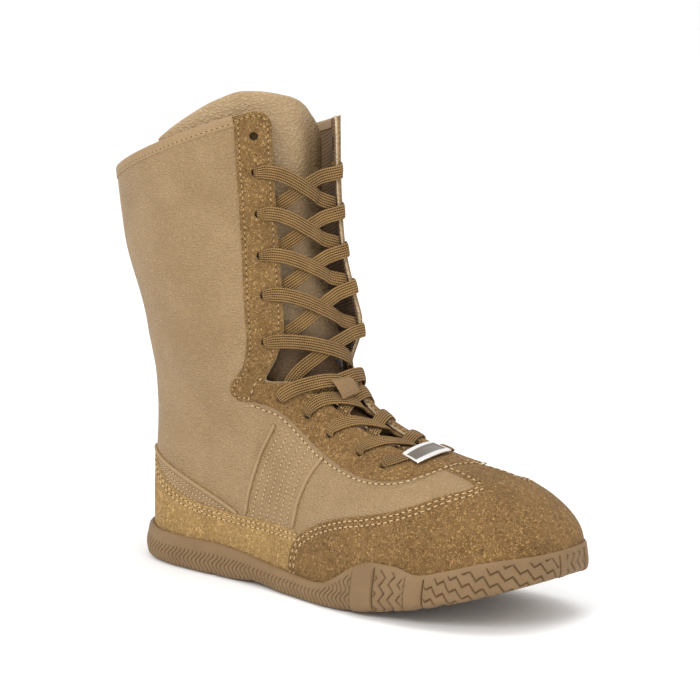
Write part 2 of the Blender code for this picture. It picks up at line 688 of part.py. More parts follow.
def slider_frame():
    """Matrix of the slider: X across the zip, Y up along it, Z out of the shoe."""
    v = SLIDER_LEVEL
    point = surface(INNER, zip_u(v), v)
    above = surface(INNER, zip_u(v + 0.02), v + 0.02)
    out = Vector(normal(point))
    up = Vector(above - point)
    up = (up - out * up.dot(out)).normalized()
    across = up.cross(out)
    face = Vector(point) + out * (GAP + ZIP_THICK + GAP + 0.2 + SLIDER_THICK)
    matrix = Matrix((across, up, out)).transposed().to_4x4()
    matrix.translation = face * MM
    return matrix


def rounded_outline(points, name, thickness, material, collection, holes=()):
    """A flat outline, made a solid by a 2D curve with an extrude."""
    data = bpy.data.curves.new(name, "CURVE")
    data.dimensions = "2D"
    data.fill_mode = "BOTH"
    data.extrude = thickness / 2 * MM
    for outline in (points, *holes):
        spline = data.splines.new("POLY")
        spline.points.add(len(outline) - 1)
        for knot, (x, y) in zip(spline.points, outline):
            knot.co = (x * MM, y * MM, 0, 1)
        spline.use_cyclic_u = True
    guide = bpy.data.objects.new(name, data)
    collection.objects.link(guide)
    evaluated = guide.evaluated_get(bpy.context.evaluated_depsgraph_get())
    mesh = bpy.data.meshes.new_from_object(evaluated)
    bpy.data.objects.remove(guide)
    work = bmesh.new()
    work.from_mesh(mesh)
    bmesh.ops.remove_doubles(work, verts=work.verts, dist=1e-6)
    bmesh.ops.recalc_face_normals(work, faces=work.faces)
    work.to_mesh(mesh)
    work.free()
    mesh.materials.clear()
    mesh.materials.append(material)
    thing = bpy.data.objects.new(name, mesh)
    collection.objects.link(thing)
    return thing


def round_corners(half_width, low, high, radius, steps=3):
    """A rectangle's outline with rounded corners."""
    points = []
    corners = ((half_width, low, 270), (half_width, high, 0), (-half_width, high, 90), (-half_width, low, 180))
    for x, y, first in corners:
        centre_x = x - math.copysign(radius, x)
        centre_y = y + radius if y == low else y - radius
        for step in range(steps + 1):
            angle = math.radians(first + 90 * step / steps)
            points.append((centre_x + radius * math.cos(angle), centre_y + radius * math.sin(angle)))
    return points


def build_zip_slider(material, collection, parent):
    """Slider body with the arched bridge that traps the pull's bar."""
    body = [(-SLIDER_LENGTH / 2, -SLIDER_THICK), (SLIDER_LENGTH / 2, -SLIDER_THICK),
            (SLIDER_LENGTH / 2 - 0.8, 0), (-SLIDER_LENGTH / 2 + 0.8, 0)]
    inside, top = BRIDGE_INSIDE / 2, AXIS_HEIGHT + BRIDGE_CLEAR
    arch = [(inside + 0.9, -0.2), (inside + 0.5, top), (inside - 0.5, top + BRIDGE_THICK),
            (-inside + 0.5, top + BRIDGE_THICK), (-inside - 0.5, top), (-inside - 0.9, -0.2),
            (-inside, -0.2), (-inside + 0.3, top - 0.3), (-inside + 0.8, top), (inside - 0.8, top),
            (inside - 0.3, top - 0.3), (inside, -0.2)]

    def extruded(name, outline, width):
        count = len(outline)
        loops = [[np.array([x, y, z]) for y, z in outline] for x in (-width / 2, width / 2)]
        faces = grid_faces(2, count, closed=True)
        faces += [tuple(range(count)), tuple(range(2 * count - 1, count - 1, -1))]
        return add_object(name, [p for loop in loops for p in loop], faces, material, collection, None)

    slider = extruded("zip_slider", body, SLIDER_WIDTH)
    bridge = extruded("zip_bridge", arch, BRIDGE_WIDTH)
    return slider, bridge


def build_zip_pull(material, collection):
    """The pull tab, with its origin on the bar that it swings on."""
    outline = round_corners(PULL_WIDTH / 2, -PULL_LENGTH, PULL_BAR, 0.6)
    slot = round_corners(PULL_SLOT_WIDTH / 2, -PULL_BAR - PULL_SLOT_LENGTH, -PULL_BAR, 0.3, steps=1)
    return rounded_outline(outline, "zip_pull", PULL_THICK, material, collection, holes=(slot,))


def build_zip_fittings(material, collection, cutters, parent):
    frame = slider_frame()
    slider, bridge = build_zip_slider(material, collection, parent)
    for thing in (slider, bridge):
        thing.matrix_world = frame
    join_solids(slider, bridge, cutters)
    hinge = bpy.data.objects.new("zip_hinge", None)
    hinge.empty_display_size = 5 * MM
    collection.objects.link(hinge)
    hinge.matrix_world = (frame @ Matrix.Translation((0, 0, AXIS_HEIGHT * MM))
                          @ Matrix.Rotation(-REST_LIFT, 4, "X"))
    pull = build_zip_pull(material, collection)
    pull.parent = hinge
    slider.parent = parent
    hinge.parent = parent


def main():
    for thing in list(bpy.data.objects):
        bpy.data.objects.remove(thing)
    boot = fresh_collection("Lace-up boot")
    cutters = fresh_collection("Guides")
    stand = bpy.data.objects.new("boot_root", None)
    boot.objects.link(stand)

    leather = principled("Tan grained leather", (0.33, 0.20, 0.10), 0.5)
    lining = principled("Tan textile lining", (0.26, 0.16, 0.085), 0.9)
    rubber_finish = principled("Gum rubber", (0.28, 0.18, 0.10), 0.6)
    braid = principled("Tan flat braid", (0.25, 0.15, 0.07), 0.85)
    tape = principled("Brown zip tape", (0.12, 0.07, 0.035), 0.8)
    chrome = principled("Polished metal", (0.8, 0.8, 0.8), 0.15, 1.0)

    build_outsole(rubber_finish, boot, stand)
    build_insole(lining, boot, stand)
    build_upper(leather, boot, stand)
    build_tongue(leather, boot, stand)
    build_lace_bar(braid, boot, stand)
    for number in range(1, len(EYELETS)):
        build_lace_crossing(number, EYELETS[number], EYELETS[number - 1], braid, boot, cutters, stand)
    build_keeper(leather, boot, stand)
    build_lace_plate(chrome, boot, stand)
    build_zip_strip(tape, boot, stand)
    build_zip_fittings(chrome, boot, cutters, stand)


main()
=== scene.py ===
"""Looks of a tall lace-up sneaker with a wrestling-boot cut, right foot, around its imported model.

Sizes and places are in millimetres and turned into metres as each mesh is made. Every piece that
lies on the shoe is placed on the last, which is one closed formula, by w and v: w runs from -1 at
the back seam over the outer side to 0 at the front and on over the inner side to +1 at the back
seam, and v runs from 0 at the feather line to 1 at the collar.
"""

import logging
import math
from collections import namedtuple
from dataclasses import dataclass, field
from enum import Enum
from typing import Callable, Sequence

import bmesh
import bpy
import numpy as np
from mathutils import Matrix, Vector
from mathutils.geometry import delaunay_2d_cdt


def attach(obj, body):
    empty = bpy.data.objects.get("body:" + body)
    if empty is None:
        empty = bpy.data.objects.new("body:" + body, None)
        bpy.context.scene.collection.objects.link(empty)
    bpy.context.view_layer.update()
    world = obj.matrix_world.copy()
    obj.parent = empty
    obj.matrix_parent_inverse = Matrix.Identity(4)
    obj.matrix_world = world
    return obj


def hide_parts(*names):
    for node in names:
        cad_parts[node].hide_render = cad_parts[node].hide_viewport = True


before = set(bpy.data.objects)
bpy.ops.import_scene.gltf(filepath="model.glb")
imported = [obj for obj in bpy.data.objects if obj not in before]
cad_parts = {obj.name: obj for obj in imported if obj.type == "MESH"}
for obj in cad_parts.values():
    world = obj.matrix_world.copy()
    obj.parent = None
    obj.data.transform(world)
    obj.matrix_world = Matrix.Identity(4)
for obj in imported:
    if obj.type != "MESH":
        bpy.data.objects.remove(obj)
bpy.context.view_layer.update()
MM = 0.001
log = logging.getLogger("sneaker")

Array = np.ndarray
Piece = bpy.types.Object
Material = bpy.types.Material
Node = bpy.types.Node
Socket = bpy.types.NodeSocket


# --- small sums that many pieces share ----------------------------------------------------------
def eased(share: Array) -> Array:
    """A share from 0 to 1 that starts and ends softly."""
    return share * share * (3 - 2 * share)


def share_past(value: Array, start: float, span: float) -> Array:
    """How far a value is past a start, from 0 there to 1 at the end of a span."""
    return np.clip((value - start) / span, 0, 1)


def zigzag(turns: Array) -> Array:
    """A line that falls from 1 to 0 and rises back in each turn."""
    return np.abs((turns % 1.0) * 2 - 1)


def unit(vectors: Array) -> Array:
    """The same directions with a length of 1."""
    return vectors / np.linalg.norm(vectors, axis=-1, keepdims=True)


def read_at(fine: Array, at: Array, values: Array) -> Array:
    """Rows of numbers read at fine places between the places where they are known."""
    return np.stack([np.interp(fine, at, column) for column in values.T], -1)


def chain(count: int, first: int = 0) -> list[tuple[int, int]]:
    """Edges that join points one after another."""
    return [(first + k, first + k + 1) for k in range(count - 1)]


def travelled(points: Array) -> Array:
    """Distance along a line of points, starting at 0."""
    return np.concatenate([[0], np.cumsum(np.linalg.norm(np.diff(points, axis=0), axis=-1))])


def curve_through(at: Array, values: Array, slopes: Array, fine: Array,
                  pull: float = 1.0) -> Array:
    """Reads a cubic curve through knots.

    Args:
        at: Places of the knots, rising.
        values: Number or row of numbers at each knot.
        slopes: Slope of the curve at each knot.
        fine: Places to read the curve at.
        pull: Share of the slopes that is kept; less makes the curve tighter.

    Returns:
        The curve's values at the fine places.
    """
    i = np.clip(np.searchsorted(at, fine, side="right") - 1, 0, len(at) - 2)
    h = at[i + 1] - at[i]
    x = (fine - at[i]) / h
    if values.ndim > 1:
        h, x = h[:, None], x[:, None]
    return ((1 + 2 * x) * (1 - x) ** 2 * values[i] + x * (1 - x) ** 2 * h * slopes[i] * pull
            + x * x * (3 - 2 * x) * values[i + 1] + x * x * (x - 1) * h * slopes[i + 1] * pull)


# --- the last ----------------------------------------------------------------------------------
FootRow = namedtuple("FootRow", "x centre half ridge base")
FOOT = (
    FootRow(0, 0.0, 31.5, 120, 10.5),
    FootRow(30, -0.5, 31.5, 122, 9.5),
    FootRow(60, -2.5, 32.0, 118, 8.0),
    FootRow(90, -3.0, 35.0, 105, 6.5),
    FootRow(115, -2.5, 39.0, 91, 5.5),
    FootRow(140, -1.0, 42.0, 82, 6.5),
    FootRow(165, 2.0, 43.5, 76, 9.5),
    FootRow(190, 5.0, 43.0, 72.5, 15.0),
    FootRow(232, 9.0, 41.0, 64, 28.0),
)
ShaftRow = namedtuple("ShaftRow", "z centre depth half")
SHAFT = (
    ShaftRow(30, 14, 40, 24),
    ShaftRow(70, 16, 43, 28),
    ShaftRow(100, 19, 51, 36),
    ShaftRow(130, 18, 60.5, 45),
    ShaftRow(180, 7, 67, 50),
    ShaftRow(230, 3, 68, 52),
    ShaftRow(270, 3, 66, 52),
)
SheetRow = namedtuple("SheetRow", "back_x back_z front_x front_z")
SHEETS = (
    SheetRow(-35, 10.5, 233, 28),
    SheetRow(-35, 25, 234, 44),
    SheetRow(-35, 35, 226, 56),
    SheetRow(-35, 44, 206, 66),
    SheetRow(-35, 53, 181, 73),
    SheetRow(-35, 62, 155, 81),
    SheetRow(-34, 71, 131, 94),
    SheetRow(-34, 82, 112, 110),
    SheetRow(-35, 94, 97, 127),
    SheetRow(-38, 109, 88, 146),
    SheetRow(-42, 126, 82, 167),
    SheetRow(-48, 145, 78, 188),
    SheetRow(-55, 166, 74, 211),
    SheetRow(-61, 187, 71, 234),
    SheetRow(-65, 209, 70, 258),
    SheetRow(-67, 232, 70, 281),
)
ThroatRow = namedtuple("ThroatRow", "v middle half_gap bow")
THROAT = (
    ThroatRow(0.000, 0.0, 0.0, 0.0246),
    ThroatRow(0.340, -1.0, 0.0, 0.0246),
    ThroatRow(0.346, -1.4, 6.5, 0.0246),
    ThroatRow(0.356, -2.0, 9.6, 0.0244),
    ThroatRow(0.375, -2.8, 11.8, 0.0235),
    ThroatRow(0.405, -4.0, 13.6, 0.0229),
    ThroatRow(0.450, -5.5, 15.2, 0.0234),
    ThroatRow(0.490, -7.5, 18.5, 0.0265),
    ThroatRow(0.508, -8.2, 21.5, 0.0270),
    ThroatRow(0.517, -8.5, 24.0, 0.0230),
    ThroatRow(0.530, -9.0, 30.0, 0.0170),
    ThroatRow(0.538, -9.2, 46.5, 0.0145),
    ThroatRow(0.542, -9.3, 49.0, 0.0130),
    ThroatRow(0.556, -9.6, 43.0, 0.0090),
    ThroatRow(0.578, -9.9, 34.5, 0.0040),
    ThroatRow(0.595, -10.1, 30.0, 0.0015),
    ThroatRow(0.620, -10.4, 24.8, 0.0000),
    ThroatRow(0.650, -10.6, 22.3, 0.0000),
    ThroatRow(0.700, -10.8, 20.0, 0.0000),
    ThroatRow(0.770, -10.8, 18.6, 0.0000),
    ThroatRow(1.000, -10.8, 18.2, 0.0000),
    ThroatRow(1.072, -10.8, 18.2, 0.0000),
)
# Creases of a worn-in ankle and vamp: where, which way they run, how long, wide and deep.
CreaseRow = namedtuple("CreaseRow", "x y z run_x run_y run_z length width depth")
CREASES = (
    CreaseRow(14, -37, 101, 1.0, 0.0, -0.28, 26, 7.0, 0.9),
    CreaseRow(-14, -33, 96, 1.0, 0.0, 0.30, 16, 6.0, 0.6),
    CreaseRow(30, -36, 82, 1.0, 0.0, -0.45, 20, 6.0, 0.5),
    CreaseRow(10, 36, 101, 1.0, 0.0, -0.25, 24, 7.0, 0.8),
    CreaseRow(-34, 0, 104, 0.1, 1.0, 0.0, 26, 6.5, 0.9),
    CreaseRow(-33, 4, 88, 0.1, 1.0, 0.06, 22, 5.0, 0.6),
    CreaseRow(160, -33, 55, 0.35, 0.5, 0.8, 14, 5.0, 0.4),
    CreaseRow(148, 36, 55, 0.3, -0.5, 0.8, 14, 5.0, 0.5),
)


class Profile:
    """A smooth curve without overshoot through one column of a table."""

    def __init__(self, across: Sequence[float], values: Sequence[float], samples: int = 6001) -> None:
        """Tabulates the curve finely, so that reading it is fast."""
        xs, ys = np.array(across, float), np.array(values, float)
        slopes = np.diff(ys) / np.diff(xs)
        before, after = slopes[:-1], slopes[1:]
        turning = before * after <= 0
        total = np.where(turning, 1.0, before + after)
        inside = np.where(turning, 0.0, 2 * before * after / total)
        tangents = np.concatenate([[slopes[0]], inside, [slopes[-1]]])
        self.grid = np.linspace(xs[0], xs[-1], samples)
        self.table = curve_through(xs, ys, tangents, self.grid)

    def __call__(self, x: Array) -> Array:
        """Height of the curve at x."""
        return np.interp(x, self.grid, self.table)


def profiles(rows: Sequence, across: str, columns: str) -> dict[str, Profile]:
    """One profile for each named column of a table."""
    xs = [getattr(row, across) for row in rows]
    return {column: Profile(xs, [getattr(row, column) for row in rows]) for column in columns.split()}


@dataclass
class Last:
    """The outside form of the upper: a foot form and a shaft form joined softly."""

    heel_x: float = -35.0
    heel_cap_x: float = 2.0
    toe_x: float = 229.5
    toe_cap_x: float = 172.0
    side_power: float = 2.6
    dome_power: float = 2.0
    heel_power: float = 2.5
    toe_power: float = 3.1
    wall_rise: float = 12.5
    blend: float = 26.0
    form_scale: float = 35.0
    back_radius: float = 33.0
    front_radius: float = 52.0
    short_line: float = 150.0
    reach: float = 110.0
    floor_fade: float = 0.36
    collar_row: int = 14
    bow_at: float = 30.0
    flare_height: float = 6.5
    flare_width: float = 15.0
    flare_front: float = 9.0
    flare_from: float = 0.56

    def __post_init__(self) -> None:
        """Tabulates the profiles, the rays' lengths and the girth."""
        self.foot = profiles(FOOT, "x", "centre half ridge base")
        self.shaft = profiles(SHAFT, "z", "centre depth half")
        rows = [(i / self.collar_row, *row) for i, row in enumerate(SHEETS)]
        self.sheet = {name: Profile([row[0] for row in rows], [row[k + 1] for row in rows])
                      for k, name in enumerate(SheetRow._fields)}
        self.throat = profiles(THROAT, "v", "middle half_gap bow")
        self.top = rows[-1][0]
        self._w = np.linspace(-1, 1, 361)
        self._v = np.linspace(0, self.top, 181)
        self._rays = self._bisect(*np.meshgrid(self._w, self._v, indexing="ij"))
        levels, samples = np.linspace(0, self.top, 48), np.linspace(0, 1, 64)
        ring = self.ring_point(*np.meshgrid(samples, levels, indexing="ij"))
        lengths = np.linalg.norm(np.diff(ring, axis=0), axis=-1).sum(axis=0)
        self.girth: Callable[[Array], Array] = lambda v: np.interp(v, levels, lengths)

    def value(self, x: Array, y: Array, z: Array) -> Array:
        """Below 0 inside the form and 0 on it."""
        foot = self.foot
        wall = foot["base"](x) + self.wall_rise
        side = np.abs(y - foot["centre"](x)) / foot["half"](x)
        rise = np.maximum(z - wall, 0) / (foot["ridge"](x) - wall)
        toe = np.maximum(x - self.toe_cap_x, 0) / (self.toe_x - self.toe_cap_x)
        heel = np.maximum(self.heel_cap_x - x, 0) / (self.heel_cap_x - self.heel_x)
        total = (side ** self.side_power + rise ** self.dome_power
                 + toe ** self.toe_power + heel ** self.heel_power)
        a = (total ** (1 / self.side_power) - 1) * self.form_scale
        half = self.shaft["half"](z)
        b = (np.hypot((x - self.shaft["centre"](z)) / self.shaft["depth"](z), y / half) - 1) * half
        overlap = np.maximum(self.blend - np.abs(a - b), 0) / self.blend
        return np.minimum(a, b) - overlap ** 2 * self.blend / 4

    def sheet_height(self, x: Array, v: Array) -> Array:
        """Height of line v above the point x of the foot."""
        sheet, first = self.sheet, SHEETS[0]
        back_x, back_z, front_x, front_z = (sheet[name](v) for name in SheetRow._fields)
        line = back_z + (front_z - back_z) * (x - back_x) / (front_x - back_x)
        slope = (first.front_z - first.back_z) / (first.front_x - first.back_x)
        floor_line = first.back_z + slope * (x - first.back_x)
        fade = np.clip(1 - v / self.floor_fade, 0, 1)
        return line + fade * (self.foot["base"](x) - floor_line)

    def _rays_at(self, w: Array, v: Array) -> tuple:
        """Start and direction of the ray that finds the form at (w, v)."""
        u, side = np.abs(w), np.where(w < 0, -1.0, 1.0)
        back_x, front_x = self.sheet["back_x"](v), self.sheet["front_x"](v)
        length = front_x - back_x
        back_r = np.minimum(length / 2, self.back_radius + np.maximum(self.short_line - length, 0) * 0.6)
        front_r = np.minimum(self.front_radius, length / 2)
        spine = np.maximum(length - back_r - front_r, 0.5)
        quarter = math.pi / 2
        d = u * (quarter * front_r + spine + quarter * back_r)
        along = np.clip((d - quarter * front_r) / spine, 0, 1)
        angle = (np.clip(d / front_r, 0, quarter)
                 + np.clip((d - quarter * front_r - spine) / back_r, 0, quarter))
        start_x = front_x - front_r - along * spine
        start_y = self.foot["centre"](start_x) * np.clip(1 - v / 0.6, 0, 1)
        return start_x, start_y, np.cos(angle), side * np.sin(angle)

    def _bisect(self, w: Array, v: Array) -> Array:
        """Ray lengths found by halving, for the coarse table."""
        x0, y0, dx, dy = self._rays_at(w, v)
        near, far = np.zeros_like(x0), np.full_like(x0, self.reach)
        for _ in range(22):
            mid = (near + far) / 2
            x, y = x0 + mid * dx, y0 + mid * dy
            outside = self.value(x, y, self.sheet_height(x, v)) > 0
            far, near = np.where(outside, mid, far), np.where(outside, near, mid)
        return near

    def ring_point(self, w: Array, v: Array) -> Array:
        """Point of the form at (w, v). Past the back seam w goes on round the other side."""
        w, v = np.broadcast_arrays(np.asarray(w, float), np.asarray(v, float))
        w = (w + 1) % 2 - 1
        i = np.clip((w + 1) / 2 * (len(self._w) - 1), 0, len(self._w) - 1.001)
        j = np.clip(v / self.top * (len(self._v) - 1), 0, len(self._v) - 1.001)
        a, b = i.astype(int), j.astype(int)
        fa, fb, rays = i - a, j - b, self._rays
        reach = ((rays[a, b] * (1 - fa) + rays[a + 1, b] * fa) * (1 - fb)
                 + (rays[a, b + 1] * (1 - fa) + rays[a + 1, b + 1] * fa) * fb)
        x0, y0, dx, dy = self._rays_at(w, v)

        def value(r: Array) -> Array:
            """The form's value at a length along each ray."""
            x, y = x0 + r * dx, y0 + r * dy
            return self.value(x, y, self.sheet_height(x, v))

        for _ in range(3):
            here = value(reach)
            slope = (value(reach + 0.05) - here) / 0.05
            reach = reach - np.clip(here / np.maximum(slope, 0.05), -3, 3)
        x, y = x0 + reach * dx, y0 + reach * dy
        return np.stack([x, y, self.sheet_height(x, v)], -1)

    def normal(self, points: Array, step: float = 0.05) -> Array:
        """Outward direction of the form."""
        x, y, z = points[..., 0], points[..., 1], points[..., 2]
        slope = np.stack([self.value(x + step, y, z) - self.value(x - step, y, z),
                          self.value(x, y + step, z) - self.value(x, y - step, z),
                          self.value(x, y, z + step) - self.value(x, y, z - step)], -1)
        return unit(slope)

    def level_normal(self, points: Array) -> Array:
        """Outward direction of the form without its rise."""
        out = self.normal(points)
        out[..., 2] = 0
        return unit(out)

    def relief(self, points: Array) -> Array:
        """Depth of the creases at points on the form, below 0 in a trough."""
        depth = np.zeros(points.shape[:-1])
        for row in CREASES:
            run = np.array([row.run_x, row.run_y, row.run_z])
            run /= np.linalg.norm(run)
            away = points - np.array([row.x, row.y, row.z])
            along = away @ run
            across = np.linalg.norm(away - along[..., None] * run, axis=-1)
            trough = np.exp(-(across / row.width) ** 2) - 0.45 * np.exp(-((across - 1.6 * row.width)
                                                                         / row.width) ** 2)
            depth -= row.depth * trough * np.exp(-(along / row.length) ** 2)
        return depth

    def flare(self, w: Array, v: Array) -> Array:
        """How far the inner stay's front edge stands up off the form."""
        w, v = np.broadcast_arrays(np.asarray(w, float), np.asarray(v, float))
        w = (w + 1) % 2 - 1
        girth, middle = self.girth(v), self.throat["middle"](v)
        past = (w * girth - middle) / (1 - middle / girth) - self.throat["half_gap"](v)
        behind = np.clip(1 - past / self.flare_width, 0, 1) ** 1.6
        share = np.clip(1 + past / self.flare_front, 0, 1)
        before = eased(share)
        rise = share_past(v, self.flare_from, 0.08)
        return self.flare_height * rise * rise * (3 - 2 * rise) * np.where(past > 0, behind, before)

    def point(self, w: Array, v: Array, height: Array = 0.0,
              flared: bool = True) -> Array:
        """Point at a height above the form, creases included."""
        base = self.ring_point(w, v)
        rise = np.asarray(height, float) + self.relief(base) + (self.flare(w, v) if flared else 0.0)
        return base + self.normal(base) * rise[..., None]

    def frame_at(self, w: Array, v: Array, height: Array) -> tuple[Array, Array]:
        """Points at a height, and the outward directions there."""
        base = self.ring_point(w, v)
        out = self.normal(base)
        rise = np.asarray(height, float) + self.relief(base) + self.flare(w, v)
        return base + out * rise[..., None], out

    def throat_w(self, s: Array, v: Array) -> Array:
        """The w that lies s mm from the throat's middle on line v, outer side below zero."""
        s, v = np.broadcast_arrays(np.asarray(s, float), np.asarray(v, float))
        girth, middle = self.girth(v), self.throat["middle"](v)
        return s / girth + middle / girth * (1 - np.abs(s) / girth)

    def across(self, s: Array, level: Array) -> tuple[Array, Array]:
        """(w, v) of the place s mm from the throat's middle on the line square across it at a level."""
        s, level = np.broadcast_arrays(np.asarray(s, float), np.asarray(level, float))
        v = level - self.throat["bow"](level) * (s / self.bow_at) ** 2
        return self.throat_w(s, v), v

    def on_side(self, side: int, x: float, z: float) -> tuple[float, float]:
        """(w, v) of the place on one side that has this x and z.

        Args:
            side: -1 for the outer side and +1 for the inner side.
            x: Distance along the foot.
            z: Height above the floor.

        Returns:
            The place's w and v.
        """
        levels = np.linspace(0, self.top, 600)
        v = float(np.interp(z, self.sheet_height(np.full(600, float(x)), levels), levels))
        w = np.linspace(0.02, 1, 400) * side
        xs = self.ring_point(w, np.full(400, v))[:, 0]
        return float(np.interp(-x, -xs, w)), v

    def slopes(self, w: Array, v: Array, step: float = 2e-4) -> tuple[Array, Array]:
        """How far the point moves, in mm, for a step of w and a step of v."""
        by_w = (self.ring_point(w + step, v) - self.ring_point(w - step, v)) / (2 * step)
        by_v = (self.ring_point(w, v + step) - self.ring_point(w, v - step)) / (2 * step)
        return by_w, by_v

    def shift(self, w: Array, v: Array, move: Array) -> tuple[Array, Array]:
        """(w, v) after a small move over the form, given in millimetres as a vector."""
        by_w, by_v = self.slopes(w, v)
        a, b, c = (by_w * by_w).sum(-1), (by_w * by_v).sum(-1), (by_v * by_v).sum(-1)
        p, q = (by_w * move).sum(-1), (by_v * move).sum(-1)
        det = a * c - b * b
        return w + (c * p - b * q) / det, v + (a * q - b * p) / det


LAST = Last()


# --- lines over the last --------------------------------------------------------------------------
def spread(w: Array, v: Array) -> Array:
    """Lengths along a run of places, in mm, starting at 0."""
    return travelled(LAST.ring_point(w, v))


def smooth_run(places: Sequence[tuple[float, float]], step: float = 1.5) -> Array:
    """A smooth run over the last through a few places, cut into equal steps.

    Args:
        places: Places (w, v) in order.
        step: Distance between the points of the run, in mm.

    Returns:
        An array of (w, v).
    """
    knots = np.array(places, float)
    if len(knots) > 2:
        t = spread(knots[:, 0], knots[:, 1])
        slope = np.gradient(knots, t, axis=0)
        fine = np.linspace(0, t[-1], max(8 * len(knots), 40))
        knots = curve_through(t, knots, slope, fine)
    else:
        knots = np.linspace(knots[0], knots[1], 60)
    return evened(knots, step)


def closed_loop(runs: Sequence[Array], rounding: int = 2) -> Array:
    """Joins runs into one closed loop and softens its corners.

    Args:
        runs: Runs of (w, v), each starting where the last one ends.
        rounding: How many times the corners are softened.

    Returns:
        The loop as an array of (w, v), turning left in the chart.
    """
    loop = np.concatenate([run[:-1] for run in runs])
    for _ in range(rounding):
        loop = loop * 0.5 + (np.roll(loop, 1, 0) + np.roll(loop, -1, 0)) * 0.25
    area = (loop[:, 0] * np.roll(loop[:, 1], -1) - loop[:, 1] * np.roll(loop[:, 0], -1)).sum()
    return loop if area > 0 else loop[::-1].copy()


def parallel(loop: Array, distance: float, closed: bool = True) -> Array:
    """A run beside another, to its left, at a distance in mm measured over the last."""
    ahead = np.roll(loop, -1, 0) - np.roll(loop, 1, 0)
    if not closed:
        ahead[0], ahead[-1] = loop[1] - loop[0], loop[-1] - loop[-2]
    by_w, by_v = LAST.slopes(loop[:, 0], loop[:, 1])
    a, b, c = (by_w * by_w).sum(-1), (by_w * by_v).sum(-1), (by_v * by_v).sum(-1)
    p = a * ahead[:, 0] + b * ahead[:, 1]
    q = b * ahead[:, 0] + c * ahead[:, 1]
    left = np.stack([-q, p], -1)
    length = np.sqrt(a * q * q - 2 * b * p * q + c * p * p)
    return loop + left / length[:, None] * distance


def beside(run: Array, distance: float) -> Array:
    """An open run beside another, to its left, at a distance in mm."""
    return parallel(run, distance, closed=False)


def mirrored(run: Array) -> Array:
    """The same run on the other side of the throat's middle."""
    v = run[:, 1]
    girth, middle = LAST.girth(v), LAST.throat["middle"](v)
    side = np.where(run[:, 0] * girth > middle, 1.0, -1.0)
    s = (run[:, 0] * girth - middle) / (1 - side * middle / girth)
    return np.stack([LAST.throat_w(-s, v), v], -1)


# --- meshes -----------------------------------------------------------------------------------------
def linked(name: str, data: bpy.types.ID) -> Piece:
    """A new object in the scene that shows some data."""
    thing = bpy.data.objects.new(name, data)
    bpy.context.scene.collection.objects.link(thing)
    return thing


def turn_out(mesh: bpy.types.Mesh, weld: float = 0.0) -> None:
    """Turns a mesh's faces outwards, after joining vertices closer than a weld distance in mm."""
    work = bmesh.new()
    work.from_mesh(mesh)
    if weld:
        bmesh.ops.remove_doubles(work, verts=work.verts, dist=weld * MM)
    bmesh.ops.recalc_face_normals(work, faces=work.faces)
    work.to_mesh(mesh)
    work.free()


def mesh_object(name: str, points: Array, faces: Sequence, material: Material,
                uv: Array | None = None, extra: dict[str, Array] | None = None,
                weld: float = 0.0, sharp: float = 50.0) -> Piece:
    """A mesh object at the origin from points in millimetres.

    Args:
        name: The piece's name.
        points: Its vertices in millimetres.
        faces: Its faces, as lists of vertex numbers.
        material: Its finish.
        uv: Pattern coordinates in millimetres, one pair for each vertex.
        extra: Numbers kept on the vertices for the finish, by name.
        weld: Vertices closer than this are joined, in millimetres.
        sharp: Edges turning more than this many degrees are shaded sharp.

    Returns:
        The new object.
    """
    mesh = bpy.data.meshes.new(name)
    mesh.from_pydata((np.asarray(points, float) * MM).tolist(), [], [tuple(map(int, f)) for f in faces])
    if uv is not None:
        layer = mesh.uv_layers.new(name="Pattern")
        corner = np.zeros(len(mesh.loops), int)
        mesh.loops.foreach_get("vertex_index", corner)
        layer.data.foreach_set("uv", np.asarray(uv, float)[corner].ravel())
    for key, values in (extra or {}).items():
        attribute = mesh.attributes.new(key, "FLOAT", "POINT")
        attribute.data.foreach_set("value", np.asarray(values, np.float32).ravel())
    if weld:
        turn_out(mesh, weld)
    mesh.shade_smooth()
    mesh.set_sharp_from_angle(angle=math.radians(sharp))
    mesh.materials.append(material)
    return linked(name, mesh)


def grid_faces(rows: int, columns: int, closed: bool = False) -> list[tuple[int, int, int, int]]:
    """Quads between the points of a grid, which may close on itself across its columns."""
    i, j = np.meshgrid(np.arange(rows - 1), np.arange(columns if closed else columns - 1), indexing="ij")
    k = (j + 1) % columns
    quads = np.stack([i * columns + j, i * columns + k, (i + 1) * columns + k, (i + 1) * columns + j], -1)
    return quads.reshape(-1, 4).tolist()


def tube_faces(rows: int, columns: int) -> list:
    """Faces of a swept tube with both ends closed."""
    ends = [tuple(range(columns))[::-1], tuple(range((rows - 1) * columns, rows * columns))]
    return grid_faces(rows, columns, closed=True) + ends


def outward(thing: Piece) -> Piece:
    """Turns a closed mesh's faces outwards."""
    turn_out(thing.data)
    return thing


def inside_loop(points: Array, loop: Array) -> Array:
    """Which points of the chart lie inside a closed loop."""
    x, y = points[:, 0], points[:, 1]
    within = np.zeros(len(points), bool)
    for (ax, ay), (bx, by) in zip(loop, np.roll(loop, -1, 0)):
        if ay != by:
            crossing = (ay > y) != (by > y)
            within ^= crossing & (x < (bx - ax) * (y - ay) / (by - ay) + ax)
    return within


